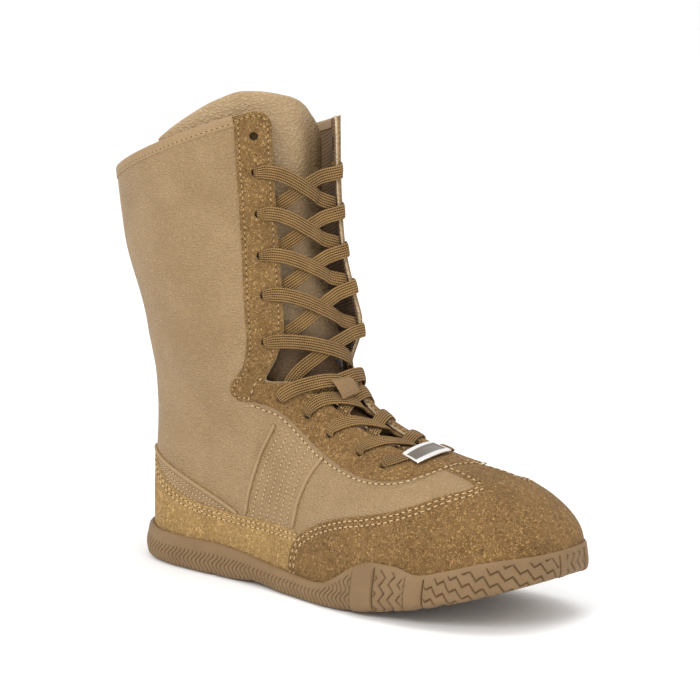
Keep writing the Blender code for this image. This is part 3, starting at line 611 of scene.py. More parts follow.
@dataclass
class CutPiece:
    """A piece cut from sheet material and laid on the last, with rounded edges and punched holes."""

    name: str
    outline: Array
    low: float = -0.15
    high: float = 0.9
    roll: float = 0.45
    holes: Sequence[Array] = ()
    spacing: float = 2.4
    puff: float = 0.0
    chart: tuple[float, float] = (260.0, 270.0)

    def _edge(self) -> list[tuple[float, float]]:
        """Section of the rounded edge: distance inwards and height."""
        steps = [math.radians(angle) for angle in (0, 30, 60, 90)]
        bend = [(self.roll * (1 - math.cos(a)), self.high - self.roll * (1 - math.sin(a))) for a in steps]
        return [(0.0, self.low), *bend]

    def build(self, material: Material) -> Piece:
        """Makes the piece as one closed mesh.

        Args:
            material: Its finish.

        Returns:
            The new object.
        """
        section = self._edge()
        loops = [self.outline, *self.holes]
        scale = np.array(self.chart)
        flat: list[Array] = []
        heights: list[Array] = []
        cuts: list[Array] = []
        faces: list[tuple] = []
        starts, total = [], 0
        for loop in loops:
            count = len(loop)
            starts.append(total)
            for k, (distance, height) in enumerate(section):
                ring = loop if distance == 0 else parallel(loop, distance)
                flat.append(ring)
                heights.append(np.full(count, height))
                cuts.append(np.full(count, (1.0, 1.0, 0.6, 0.0, 0.0)[k]))
                if k:
                    for a in range(count):
                        b = (a + 1) % count
                        low, up = total + (k - 1) * count, total + k * count
                        faces.append((low + a, low + b, up + b, up + a))
            total += len(section) * count
        rims = [flat[(k + 1) * len(section) - 1] for k in range(len(loops))]
        rim_starts = [start + (len(section) - 1) * len(loop) for start, loop in zip(starts, loops)]
        rim_ids = np.concatenate([start + np.arange(len(loop)) for start, loop in zip(rim_starts, loops)])
        low_ids = np.concatenate([start + np.arange(len(loop)) for start, loop in zip(starts, loops)])
        inner = self._inner_points(rims)
        coords = np.concatenate([*rims, inner]) * scale
        edges, first = [], 0
        for rim in rims:
            count = len(rim)
            edges += [(first + a, first + (a + 1) % count) for a in range(count)]
            first += count
        triangles = self._triangles(coords, edges, [rim * scale for rim in rims])
        top_ids = np.concatenate([rim_ids, total + np.arange(len(inner))])
        under_ids = np.concatenate([low_ids, total + len(inner) + np.arange(len(inner))])
        faces += [tuple(top_ids[list(t)]) for t in triangles]
        faces += [tuple(under_ids[list(t)])[::-1] for t in triangles]
        rise = self._crown(inner, rims[0]) if self.puff else 0.0
        flat += [inner, inner]
        heights += [np.full(len(inner), self.high) + rise, np.full(len(inner), self.low)]
        cuts.append(np.zeros(2 * len(inner)))
        places, height = np.concatenate(flat), np.concatenate(heights)
        points = LAST.point(places[:, 0], places[:, 1], height)
        uv = np.stack([places[:, 0] * LAST.girth(places[:, 1]), places[:, 1] * scale[1]], -1)
        return mesh_object(self.name, points, faces, material, uv, {"cut": np.concatenate(cuts)})

    def _inner_points(self, rims: Sequence[Array]) -> Array:
        """Grid of places inside the piece that keep clear of its edges."""
        low, high = rims[0].min(0), rims[0].max(0)
        step = self.spacing / np.array(self.chart)
        w, v = np.meshgrid(np.arange(low[0], high[0], step[0]), np.arange(low[1], high[1], step[1]),
                           indexing="ij")
        v[1::2] += step[1] / 2
        grid = np.stack([w.ravel(), v.ravel()], -1)
        grid = grid[inside_loop(grid, rims[0])]
        for hole in rims[1:]:
            grid = grid[~inside_loop(grid, hole)]
        border = LAST.ring_point(*np.concatenate(rims).T)
        points = LAST.ring_point(grid[:, 0], grid[:, 1])
        keep = np.ones(len(grid), bool)
        for block in np.array_split(np.arange(len(grid)), max(1, len(grid) // 2000)):
            gap = np.linalg.norm(points[block, None] - border[None], axis=-1).min(1)
            keep[block] = gap > self.spacing * 0.55
        return grid[keep]

    def _crown(self, inner: Array, rim: Array) -> Array:
        """Soft rise of a padded piece away from its edge."""
        border = LAST.ring_point(rim[:, 0], rim[:, 1])
        points = LAST.ring_point(inner[:, 0], inner[:, 1])
        gap = np.linalg.norm(points[:, None] - border[None], axis=-1).min(1)
        return self.puff * (1 - np.exp(-gap / 4.0))

    @staticmethod
    def _triangles(coords: Array, edges: list, borders: Sequence[Array]) -> list[tuple]:
        """Triangles between the border loops and the grid."""
        vectors = [Vector((float(x), float(y))) for x, y in coords]
        verts, _, tris, origin, _, _ = delaunay_2d_cdt(vectors, edges, [], 0, 1e-6, True)
        source = [ids[0] if ids else -1 for ids in origin]
        tris = [t for t in tris if len(t) == 3 and all(source[i] >= 0 for i in t)]
        flat = np.array([(v.x, v.y) for v in verts])
        middle = flat[np.array(tris)].mean(1)
        keep = inside_loop(middle, borders[0])
        for hole in borders[1:]:
            keep &= ~inside_loop(middle, hole)
        return [tuple(source[i] for i in t) for t, good in zip(tris, keep) if good]


def hole_loop(w: float, v: float, radius: float, count: int = 14) -> Array:
    """A punched hole: a loop that turns right, so that the piece lies on its left."""
    by_w, by_v = (slope[0] for slope in LAST.slopes(np.array([w]), np.array([v])))
    first = by_w / np.linalg.norm(by_w)
    out = np.cross(by_w, by_v)
    second = np.cross(out, first)
    second /= np.linalg.norm(second)
    angles = -np.arange(count) * 2 * math.pi / count
    moves = radius * (np.cos(angles)[:, None] * first + np.sin(angles)[:, None] * second)
    ws, vs = LAST.shift(np.full(count, w), np.full(count, v), moves)
    return np.stack([ws, vs], -1)


def sweep(name: str, points: Array, wide: Array, thick: Array, half_width: Array,
          half_thick: Array, material: Material, sides: int = 12,
          power: float = 2.0) -> Piece:
    """A closed tube with a rounded flat section.

    Args:
        name: The piece's name.
        points: The middle line, in mm.
        wide: Direction of the width at each point.
        thick: Direction of the thickness at each point.
        half_width: Half the width at each point.
        half_thick: Half the thickness at each point.
        material: The finish.
        sides: Number of points round the section.
        power: 2 for an oval section, more for a flatter one.

    Returns:
        The new object, with the length along it and the share round it as its pattern.
    """
    angles = np.arange(sides) * 2 * math.pi / sides
    c, s = np.cos(angles), np.sin(angles)
    a = np.sign(c) * np.abs(c) ** (2 / power)
    b = np.sign(s) * np.abs(s) ** (2 / power)
    count = len(points)
    half_width, half_thick = np.broadcast_to(half_width, count), np.broadcast_to(half_thick, count)
    rings = (points[:, None] + wide[:, None] * (half_width[:, None] * a)[..., None]
             + thick[:, None] * (half_thick[:, None] * b)[..., None])
    length = travelled(points)
    uv = np.stack([np.repeat(length, sides), np.tile(a, count) * half_width.max()], -1)
    thing = mesh_object(name, rings.reshape(-1, 3), tube_faces(count, sides), material, uv, sharp=80)
    return outward(thing)


def evened(run: Array, step: float = 1.5) -> Array:
    """The same run cut into equal steps."""
    t = spread(run[:, 0], run[:, 1])
    even = np.linspace(0, t[-1], max(2, int(round(t[-1] / step)) + 1))
    return read_at(even, t, run)


def throat_edge(side: int, low: float, high: float, inset: float = 0.0) -> Array:
    """The run along the throat's edge on one side, from one line up to another."""
    v = np.linspace(low, high, 500)
    gap = LAST.throat["half_gap"](v)
    run = np.stack([LAST.throat_w(side * gap, v), v], -1)
    run = evened(run)
    return beside(run, -side * inset) if inset else run


def band(name: str, path: Array, section: Sequence[tuple[float, float]],
         material: Material, taper: float = 0.0) -> Piece:
    """A strip of one section that follows a run over the last.

    Args:
        name: The piece's name.
        path: The run (w, v) that it follows.
        section: Its closed section: distance to the left of the run and height, in mm.
        material: Its finish.
        taper: Length over which its ends grow thin, in mm.

    Returns:
        The new object.
    """
    columns = []
    for offset, height in section:
        line = beside(path, offset) if offset else path
        columns.append(LAST.point(line[:, 0], line[:, 1], np.full(len(line), float(height))))
    points = np.stack(columns, 1)
    length = spread(path[:, 0], path[:, 1])
    if taper:
        ends = np.clip(np.minimum(length, length[-1] - length) / taper, 0, 1)
        centre = points.mean(1, keepdims=True)
        grow = np.sqrt(1 - (1 - ends) ** 2)[:, None, None] * 0.97 + 0.03
        points = centre + (points - centre) * grow
    around = travelled(np.array(section, float))
    uv = np.stack([np.repeat(length, len(section)), np.tile(around, len(path))], -1)
    faces = tube_faces(len(path), len(section))
    return outward(mesh_object(name, points.reshape(-1, 3), faces, material, uv, sharp=60))


def cord_section(radius: float, sunk: float = 0.25, sides: int = 12) -> list[tuple[float, float]]:
    """Section of a round cord partly sunk in the leather."""
    angles = [2 * math.pi * k / sides for k in range(sides)]
    return [(radius * math.cos(a), radius * math.sin(a) + radius * (1 - 2 * sunk)) for a in angles]


# --- finishes ---------------------------------------------------------------------------------------
Colour = tuple[float, float, float]


class Graph:
    """Adds and joins the nodes of one tree."""

    def __init__(self, tree: bpy.types.NodeTree) -> None:
        """Takes the tree that the nodes go into."""
        self.tree = tree

    def add(self, kind: str, inputs: dict | None = None, **settings: object) -> Node:
        """Adds a node; an input is a number, a colour or a socket to join."""
        node = self.tree.nodes.new(kind)
        for key, value in settings.items():
            setattr(node, key, value)
        for key, value in (inputs or {}).items():
            socket = node.inputs[key]
            if isinstance(value, Socket):
                self.tree.links.new(value, socket)
            else:
                socket.default_value = value
        return node

    def math(self, operation: str, a: object, b: object = 0.0, clamp: bool = False) -> Socket:
        """A sum, product or other function of numbers."""
        return self.add("ShaderNodeMath", {0: a, 1: b}, operation=operation, use_clamp=clamp).outputs[0]

    def times(self, a: object, b: object) -> Socket:
        """One number times another."""
        return self.math("MULTIPLY", a, b)

    def plus(self, a: object, b: object, clamp: bool = False) -> Socket:
        """The sum of two numbers."""
        return self.math("ADD", a, b, clamp)

    def minus(self, a: object, b: object) -> Socket:
        """One number less another."""
        return self.math("SUBTRACT", a, b)

    def ramp(self, value: object, low: float, high: float, start: float = 0.0,
             end: float = 1.0) -> Socket:
        """Carries a number smoothly from one span to another."""
        inputs = {"Value": value, "From Min": low, "From Max": high, "To Min": start, "To Max": end}
        node = self.add("ShaderNodeMapRange", inputs, interpolation_type="SMOOTHSTEP")
        return node.outputs["Result"]

    def mix(self, share: object, first: object, second: object,
            blend: str = "MIX") -> Socket:
        """Mixes two colours."""
        node = self.tree.nodes.new("ShaderNodeMix")
        node.data_type, node.blend_type = "RGBA", blend
        for index, value in ((0, share), (6, first), (7, second)):
            if isinstance(value, Socket):
                self.tree.links.new(value, node.inputs[index])
            elif index:
                node.inputs[index].default_value = (*value, 1.0)[:4]
            else:
                node.inputs[index].default_value = value
        return node.outputs[2]

    def vector(self, operation: str, a: object, b: object = (0, 0, 0)) -> Socket:
        """A sum or product of vectors."""
        return self.add("ShaderNodeVectorMath", {0: a, 1: b}, operation=operation).outputs[0]

    def noise(self, place: object, scale: object, detail: float = 2.0, rough: float = 0.5,
              distortion: float = 0.0) -> Node:
        """A soft random pattern."""
        return self.add("ShaderNodeTexNoise", {"Vector": place, "Scale": scale, "Detail": detail,
                                               "Roughness": rough, "Distortion": distortion})


def shader_group(name: str, inputs: dict[str, tuple[str, float]], outputs: Sequence[str]) -> tuple:
    """An empty node group with named inputs and outputs.

    Args:
        name: The group's name.
        inputs: For each input its kind of socket and first value.
        outputs: Names of the outputs, each a number.

    Returns:
        The group, a graph in it, its input node and its output node.
    """
    tree = bpy.data.node_groups.new(name, "ShaderNodeTree")
    for key, (kind, value) in inputs.items():
        socket = tree.interface.new_socket(name=key, in_out="INPUT", socket_type=kind)
        if kind == "NodeSocketFloat":
            socket.default_value = value
    for key in outputs:
        tree.interface.new_socket(name=key, in_out="OUTPUT", socket_type="NodeSocketFloat")
    return tree, Graph(tree), tree.nodes.new("NodeGroupInput"), tree.nodes.new("NodeGroupOutput")


class Groups:
    """The surface effects that several finishes share, each built once."""

    def __init__(self) -> None:
        """Builds the groups."""
        self.grain = self._grain()
        self.nap = self._nap()
        self.weave = self._weave()
        self.uneven = self._uneven()

    @staticmethod
    def _grain() -> bpy.types.NodeTree:
        """Pebbled grain: soft cells with fine valleys between them."""
        tree, g, start, end = shader_group(
            "Leather grain", {"Vector": ("NodeSocketVector", 0.0), "Scale": ("NodeSocketFloat", 600.0)},
            ("Height", "Valley"))
        place, scale = start.outputs["Vector"], start.outputs["Scale"]
        soft = g.noise(place, g.times(scale, 0.45), 2.0)
        nudge = g.vector("MULTIPLY", g.vector("SUBTRACT", soft.outputs["Color"], (0.5, 0.5, 0.5)),
                         (0.0009, 0.0009, 0.0009))
        moved = g.vector("ADD", place, nudge)
        flat = g.vector("MULTIPLY", moved, (1.0, 1.0, 1.55))
        cells = g.add("ShaderNodeTexVoronoi", {"Vector": flat, "Scale": scale, "Smoothness": 0.45},
                      feature="SMOOTH_F1")
        small = g.add("ShaderNodeTexVoronoi", {"Vector": moved, "Scale": g.times(scale, 2.3)})
        big = g.ramp(cells.outputs["Distance"], 0.12, 0.68, 1.0, 0.0)
        fine = g.ramp(small.outputs["Distance"], 0.1, 0.7, 1.0, 0.0)
        height = g.plus(g.times(big, 0.85), g.times(fine, 0.15))
        g.tree.links.new(height, end.inputs["Height"])
        # The valleys' share is used to paint shade into the grain.
        g.tree.links.new(g.minus(1.0, big), end.inputs["Valley"])
        return tree

    @staticmethod
    def _nap() -> bpy.types.NodeTree:
        """Nap of split leather: short curled fibres, light and dark, lying in patches."""
        tree, g, start, end = shader_group(
            "Suede nap", {"Vector": ("NodeSocketVector", 0.0), "Scale": ("NodeSocketFloat", 700.0)},
            ("Tone", "Height", "Patch"))
        place, scale = start.outputs["Vector"], start.outputs["Scale"]
        aside = g.vector("ADD", place, (0.31, 0.17, 0.23))
        curl = g.noise(place, scale, 1.0, 0.4, 2.6).outputs["Fac"]
        broken = g.noise(aside, g.times(scale, 1.1), 1.0, 0.5).outputs["Fac"]
        stroke = g.ramp(g.math("ABSOLUTE", g.minus(curl, 0.5)), 0.018, 0.052, 1.0, 0.0)
        light = g.times(stroke, g.ramp(broken, 0.40, 0.46))
        other = g.noise(aside, g.times(scale, 1.15), 1.0, 0.4, 1.2).outputs["Fac"]
        dark = g.ramp(g.math("ABSOLUTE", g.minus(other, 0.5)), 0.01, 0.05, 1.0, 0.0)
        tone = g.plus(g.times(light, 0.95), g.times(dark, -0.22))
        tone = g.plus(tone, 0.26, clamp=True)
        patch = g.noise(place, g.times(scale, 0.11), 3.0, 0.55, 0.6).outputs["Fac"]
        g.tree.links.new(tone, end.inputs["Tone"])
        g.tree.links.new(tone, end.inputs["Height"])
        g.tree.links.new(g.ramp(patch, 0.3, 0.7), end.inputs["Patch"])
        return tree

    @staticmethod
    def _weave() -> bpy.types.NodeTree:
        """Ribs along the length, each made of slanted strands. The pattern is in millimetres."""
        tree, g, start, end = shader_group(
            "Braid weave", {"Vector": ("NodeSocketVector", 0.0), "Rib": ("NodeSocketFloat", 1.25),
                            "Strand": ("NodeSocketFloat", 1.1)}, ("Height", "Gap"))
        split = g.add("ShaderNodeSeparateXYZ", {0: start.outputs["Vector"]})
        along, across = split.outputs[0], split.outputs[1]
        rib = g.math("DIVIDE", across, start.outputs["Rib"])
        in_rib = g.minus(g.times(g.math("FRACT", rib), 2.0), 1.0)
        number = g.math("ABSOLUTE", g.math("FLOOR", rib))
        odd = g.minus(g.times(g.math("MODULO", number, 2.0), 2.0), 1.0)
        slant = g.times(g.times(in_rib, odd), 0.35)
        strand = g.plus(g.math("DIVIDE", along, start.outputs["Strand"]), slant)
        in_strand = g.minus(g.times(g.math("FRACT", strand), 2.0), 1.0)
        round_rib = g.minus(1.0, g.math("POWER", g.math("ABSOLUTE", in_rib), 2.6))
        round_strand = g.minus(1.0, g.math("POWER", g.math("ABSOLUTE", in_strand), 2.6))
        height = g.times(round_rib, g.plus(g.times(round_strand, 0.6), 0.4))
        g.tree.links.new(height, end.inputs["Height"])
        # The gaps' share is used to paint shade between the strands.
        g.tree.links.new(g.ramp(height, 0.10, 1.0, 1.0, 0.0), end.inputs["Gap"])
        return tree

    @staticmethod
    def _uneven() -> bpy.types.NodeTree:
        """Uneven dye and handling: broad soft patches and a few fine specks."""
        tree, g, start, end = shader_group(
            "Uneven dye", {"Vector": ("NodeSocketVector", 0.0), "Scale": ("NodeSocketFloat", 30.0)},
            ("Tone", "Speck"))
        place, scale = start.outputs["Vector"], start.outputs["Scale"]
        broad = g.noise(place, scale, 4.0, 0.6, 0.4).outputs["Fac"]
        specks = g.noise(place, g.times(scale, 22.0), 3.0, 0.6).outputs["Fac"]
        g.tree.links.new(g.ramp(broad, 0.3, 0.7), end.inputs["Tone"])
        g.tree.links.new(g.ramp(specks, 0.60, 0.72), end.inputs["Speck"])
        return tree


class Place(Enum):
    """Coordinates that a finish follows."""

    OBJECT = "Object"
    PATTERN = "UV"


@dataclass(frozen=True)
class Finish:
    """A material with a Principled shader. The finishes below fill in its nodes.

    Attributes:
        name: The material's name.
        colour: Its colour on high places.
        deep: Its colour in low or worn places.
        roughness: Its roughness.
        place: Coordinates that its pattern follows.
        raw: Colour of cut edges and rims, and painted shade, where the mesh says so.
        gloss: Its specular level.
        fuzz: Weight of the light that loose fibres catch.
        fuzz_spread: How widely the fibres spread that light.
        metal: 1 for metal and 0 for everything else.
    """

    name: str
    colour: Colour
    deep: Colour
    roughness: float = 0.6
    place: Place = Place.OBJECT
    raw: Colour | None = None
    gloss: float = 0.30
    fuzz: float = 0.0
    fuzz_spread: float = 0.5
    metal: float = 0.0

    def nodes(self, g: Graph, groups: Groups, place: Socket) -> tuple:
        """Colour, height and roughness of the surface, and how deep the relief is in mm."""
        raise NotImplementedError

    def grouped(self, g: Graph, tree: bpy.types.NodeTree, inputs: dict) -> Node:
        """Places one of the shared groups with its values."""
        node = g.add("ShaderNodeGroup", node_tree=tree)
        for key, value in inputs.items():
            if isinstance(value, Socket):
                g.tree.links.new(value, node.inputs[key])
            else:
                node.inputs[key].default_value = value
        return node

    def material(self, groups: Groups) -> Material:
        """Builds the material.

        Args:
            groups: The shared surface effects.

        Returns:
            The new material.
        """
        made = bpy.data.materials.new(self.name)
        made.use_nodes = True
        g = Graph(made.node_tree)
        shader = made.node_tree.nodes["Principled BSDF"]
        place = g.add("ShaderNodeTexCoord").outputs[self.place.value]
        colour, height, roughness, depth = self.nodes(g, groups, place)
        # The cut values mix in the second colour: cut edges and rims, and painted shade on the tongue.
        if self.raw:
            cut = g.add("ShaderNodeAttribute", attribute_name="cut").outputs["Fac"]
            colour = g.mix(g.ramp(cut, 0.45, 0.95), colour, self.raw)
        for key, value in (("Base Color", colour), ("Roughness", roughness)):
            if isinstance(value, Socket):
                made.node_tree.links.new(value, shader.inputs[key])
            else:
                shader.inputs[key].default_value = (*value, 1.0) if key == "Base Color" else value
        if depth:
            bump = g.add("ShaderNodeBump", {"Height": height, "Strength": 1.0, "Distance": depth * MM})
            made.node_tree.links.new(bump.outputs["Normal"], shader.inputs["Normal"])
        even = {"Specular IOR Level": self.gloss, "Sheen Weight": self.fuzz,
                "Sheen Roughness": self.fuzz_spread, "Metallic": self.metal}
        for key, value in even.items():
            shader.inputs[key].default_value = value
        made.diffuse_color = (*self.colour, 1.0)
        return made


@dataclass(frozen=True)
class Leather(Finish):
    """Pebbled leather with a soft gloss."""

    grain: float = 600.0
    relief: float = 0.66

    def nodes(self, g: Graph, groups: Groups, place: Socket) -> tuple:
        """Grain, painted shade in its valleys, and uneven dye."""
        grain = self.grouped(g, groups.grain, {"Vector": place, "Scale": self.grain})
        dye = self.grouped(g, groups.uneven, {"Vector": place, "Scale": 26.0})
        dyed, valley_shade = g.times(dye.outputs["Tone"], 0.40), g.times(grain.outputs["Valley"], 0.50)
        share = g.plus(dyed, valley_shade, clamp=True)
        colour = g.mix(share, self.colour, self.deep)
        rough = g.ramp(grain.outputs["Height"], 0.2, 0.9, self.roughness + 0.14, self.roughness)
        return colour, grain.outputs["Height"], rough, self.relief


@dataclass(frozen=True)
class Suede(Finish):
    """Split leather with a nap."""

    nap: float = 430.0
    relief: float = 0.26
    gloss: float = 0.12
    fuzz: float = 0.05

    def nodes(self, g: Graph, groups: Groups, place: Socket) -> tuple:
        """Light and dark fibres in patches, and a pale cut edge."""
        nap = self.grouped(g, groups.nap, {"Vector": place, "Scale": self.nap})
        share = g.plus(g.times(nap.outputs["Tone"], 0.90), g.times(nap.outputs["Patch"], 0.10))
        colour = g.mix(share, self.deep, self.colour)
        return colour, nap.outputs["Height"], self.roughness, self.relief


@dataclass(frozen=True)
class Gum(Finish):
    """Gum rubber: matt, with soft blotches, and painted shade in its grooves."""

    groove: Colour = (0.10, 0.052, 0.019)
    gloss: float = 0.35

    def nodes(self, g: Graph, groups: Groups, place: Socket) -> tuple:
        """Blotches, specks, and painted shade in the grooves."""
        dye = self.grouped(g, groups.uneven, {"Vector": place, "Scale": 45.0})
        colour = g.mix(g.times(dye.outputs["Tone"], 0.55), self.colour, self.deep)
        colour = g.mix(g.times(dye.outputs["Speck"], 0.25), colour, self.deep)
        # Painted shade: the grooves are darkened with a fixed dark colour.
        deep = g.add("ShaderNodeAttribute", attribute_name="groove").outputs["Fac"]
        colour = g.mix(g.ramp(deep, 0.05, 0.9), colour, self.groove)
        fine = g.noise(place, 1600.0, 3.0, 0.6).outputs["Fac"]
        rough = g.ramp(fine, 0.3, 0.7, self.roughness - 0.05, self.roughness + 0.08)
        return colour, fine, rough, 0.05


@dataclass(frozen=True)
class Woven(Finish):
    """Braid, tape and lining: ribs of slanted strands on the piece's own pattern."""

    place: Place = Place.PATTERN
    rib: float = 1.25
    strand: float = 1.1
    relief: float = 0.28
    gloss: float = 0.15
    fuzz: float = 0.05
    fuzz_spread: float = 0.6

    def nodes(self, g: Graph, groups: Groups, place: Socket) -> tuple:
        """Painted shade in the gaps between the strands, with uneven dye and fuzz."""
        weave = self.grouped(g, groups.weave, {"Vector": place, "Rib": self.rib, "Strand": self.strand})
        where = g.add("ShaderNodeTexCoord").outputs["Object"]
        dye = self.grouped(g, groups.uneven, {"Vector": where, "Scale": 60.0})
        fuzz = g.noise(where, 2400.0, 2.0, 0.6).outputs["Fac"]
        share = g.plus(g.times(weave.outputs["Gap"], 0.85), g.times(dye.outputs["Tone"], 0.2), clamp=True)
        share = g.plus(share, g.ramp(fuzz, 0.4, 0.75, 0.0, 0.22), clamp=True)
        return g.mix(share, self.colour, self.deep), weave.outputs["Height"], self.roughness, self.relief


@dataclass(frozen=True)
class Thread(Finish):
    """Sewing thread and corded edges."""

    def nodes(self, g: Graph, groups: Groups, place: Socket) -> tuple:
        """A fine uneven tone."""
        fuzz = g.noise(place, 1500.0, 2.0, 0.6).outputs["Fac"]
        return g.mix(g.ramp(fuzz, 0.35, 0.7), self.colour, self.deep), fuzz, self.roughness, 0.06


@dataclass(frozen=True)
class Metal(Finish):
    """Plated metal with fine handling marks."""

    brushed: float = 0.03
    gloss: float = 0.5
    metal: float = 1.0

    def nodes(self, g: Graph, groups: Groups, place: Socket) -> tuple:
        """Even colour with a little haze."""
        haze = self.grouped(g, groups.uneven, {"Vector": place, "Scale": 220.0})
        rough = g.ramp(haze.outputs["Tone"], 0.0, 1.0, self.roughness, self.roughness + 0.12)
        fine = g.noise(place, 900.0, 2.0).outputs["Fac"]
        colour = g.mix(g.times(haze.outputs["Speck"], 0.5), self.colour, self.deep)
        return colour, fine, rough, self.brushed * 0.2


class Finishes:
    """Every finish of the shoe, by its maker's name."""

    def __init__(self) -> None:
        """Builds the shared groups and the materials."""
        groups = Groups()
        raw = (0.50, 0.38, 0.24)
        self.leather = Leather("Pebbled tan leather", (0.368, 0.247, 0.130), (0.243, 0.152, 0.066),
                               0.45, raw=raw).material(groups)
        # Painted shade: the tongue's dark second colour darkens its lower part, deep in the throat.
        self.tongue = Leather("Tongue leather", (0.43, 0.305, 0.172), (0.27, 0.175, 0.085), 0.46,
                              grain=520.0, relief=0.38, raw=(0.10, 0.056, 0.024)).material(groups)
        self.collar = Leather("Collar binding leather", (0.33, 0.22, 0.115), (0.26, 0.165, 0.078), 0.45,
                              grain=900.0, relief=0.05).material(groups)
        self.suede = Suede("Tan suede", (0.46, 0.274, 0.107), (0.070, 0.036, 0.010), 0.95,
                           raw=(0.33, 0.21, 0.10)).material(groups)
        # Painted shade: the toe suede is a slightly darker copy of the tan suede, for the shade on the toe
        # guard and the instep stay.
        self.toe_suede = Suede("Toe suede", (0.46, 0.268, 0.102), (0.064, 0.032, 0.009), 0.95,
                               raw=(0.30, 0.18, 0.08)).material(groups)
        # Painted light: the heel suede is a lighter copy of the tan suede, for the light that falls on the
        # heel.
        self.foxing = Suede("Heel suede", (0.68, 0.430, 0.172), (0.150, 0.086, 0.027), 0.95,
                            raw=(0.36, 0.24, 0.13)).material(groups)
        self.rubber = Gum("Gum rubber", (0.216, 0.134, 0.062), (0.160, 0.095, 0.041), 0.62).material(groups)
        self.lining = Woven("Ribbed lining", (0.21, 0.125, 0.060), (0.085, 0.045, 0.018), 0.9, rib=1.6,
                            strand=2.4, relief=0.2).material(groups)
        self.footbed = Woven("Footbed cloth", (0.24, 0.15, 0.08), (0.12, 0.07, 0.035), 0.9, rib=1.4,
                             strand=1.4, relief=0.15).material(groups)
        # Painted shade: the lace's nearly black deep colour fills the gaps between its strands.
        self.lace = Woven("Flat braid", (0.41, 0.235, 0.080), (0.026, 0.012, 0.003), 0.85,
                          rib=1.3, strand=1.15, relief=0.75).material(groups)
        self.thread = Thread("Pale thread", (0.62, 0.45, 0.25), (0.48, 0.33, 0.16), 0.65).material(groups)
        self.brown_thread = Thread("Brown thread", (0.46, 0.31, 0.155), (0.34, 0.215, 0.095),
                                   0.65).material(groups)
        # Painted shade: dark marks for the shade in the stitch holes and behind the unused eyelets.
        self.needle = Thread("Needle holes", (0.085, 0.048, 0.020), (0.05, 0.028, 0.012),
                             0.9).material(groups)
        self.cord = Leather("Corded edge", (0.37, 0.25, 0.130), (0.28, 0.18, 0.088), 0.5, grain=1200.0,
                            relief=0.05).material(groups)
        self.keeper = Leather("Keeper leather", (0.25, 0.155, 0.072), (0.19, 0.112, 0.048), 0.5, grain=900.0,
                              relief=0.06).material(groups)
        self.tape = Woven("Zip tape", (0.045, 0.023, 0.009), (0.018, 0.009, 0.004), 0.9, rib=0.9,
                          strand=0.9, relief=0.12).material(groups)
        self.coil = Thread("Zip coil", (0.055, 0.028, 0.011), (0.03, 0.015, 0.006), 0.35).material(groups)
        self.chrome = Metal("Bright plated metal", (0.20, 0.17, 0.14), (0.12, 0.10, 0.08), 0.16,
                            raw=(0.85, 0.83, 0.80)).material(groups)
        self.zip_metal = Metal("Antique plated metal", (0.32, 0.25, 0.17), (0.16, 0.11, 0.07),
                               0.28).material(groups)


# --- stitches -----------------------------------------------------------------------------------------
def tree_socket(tree: bpy.types.NodeTree, name: str, kind: str, value: object = None) -> str:
    """Adds a named input to a geometry tree and gives its identifier."""
    socket = tree.interface.new_socket(name=name, in_out="INPUT", socket_type=kind)
    if value is not None:
        socket.default_value = value
    return socket.identifier


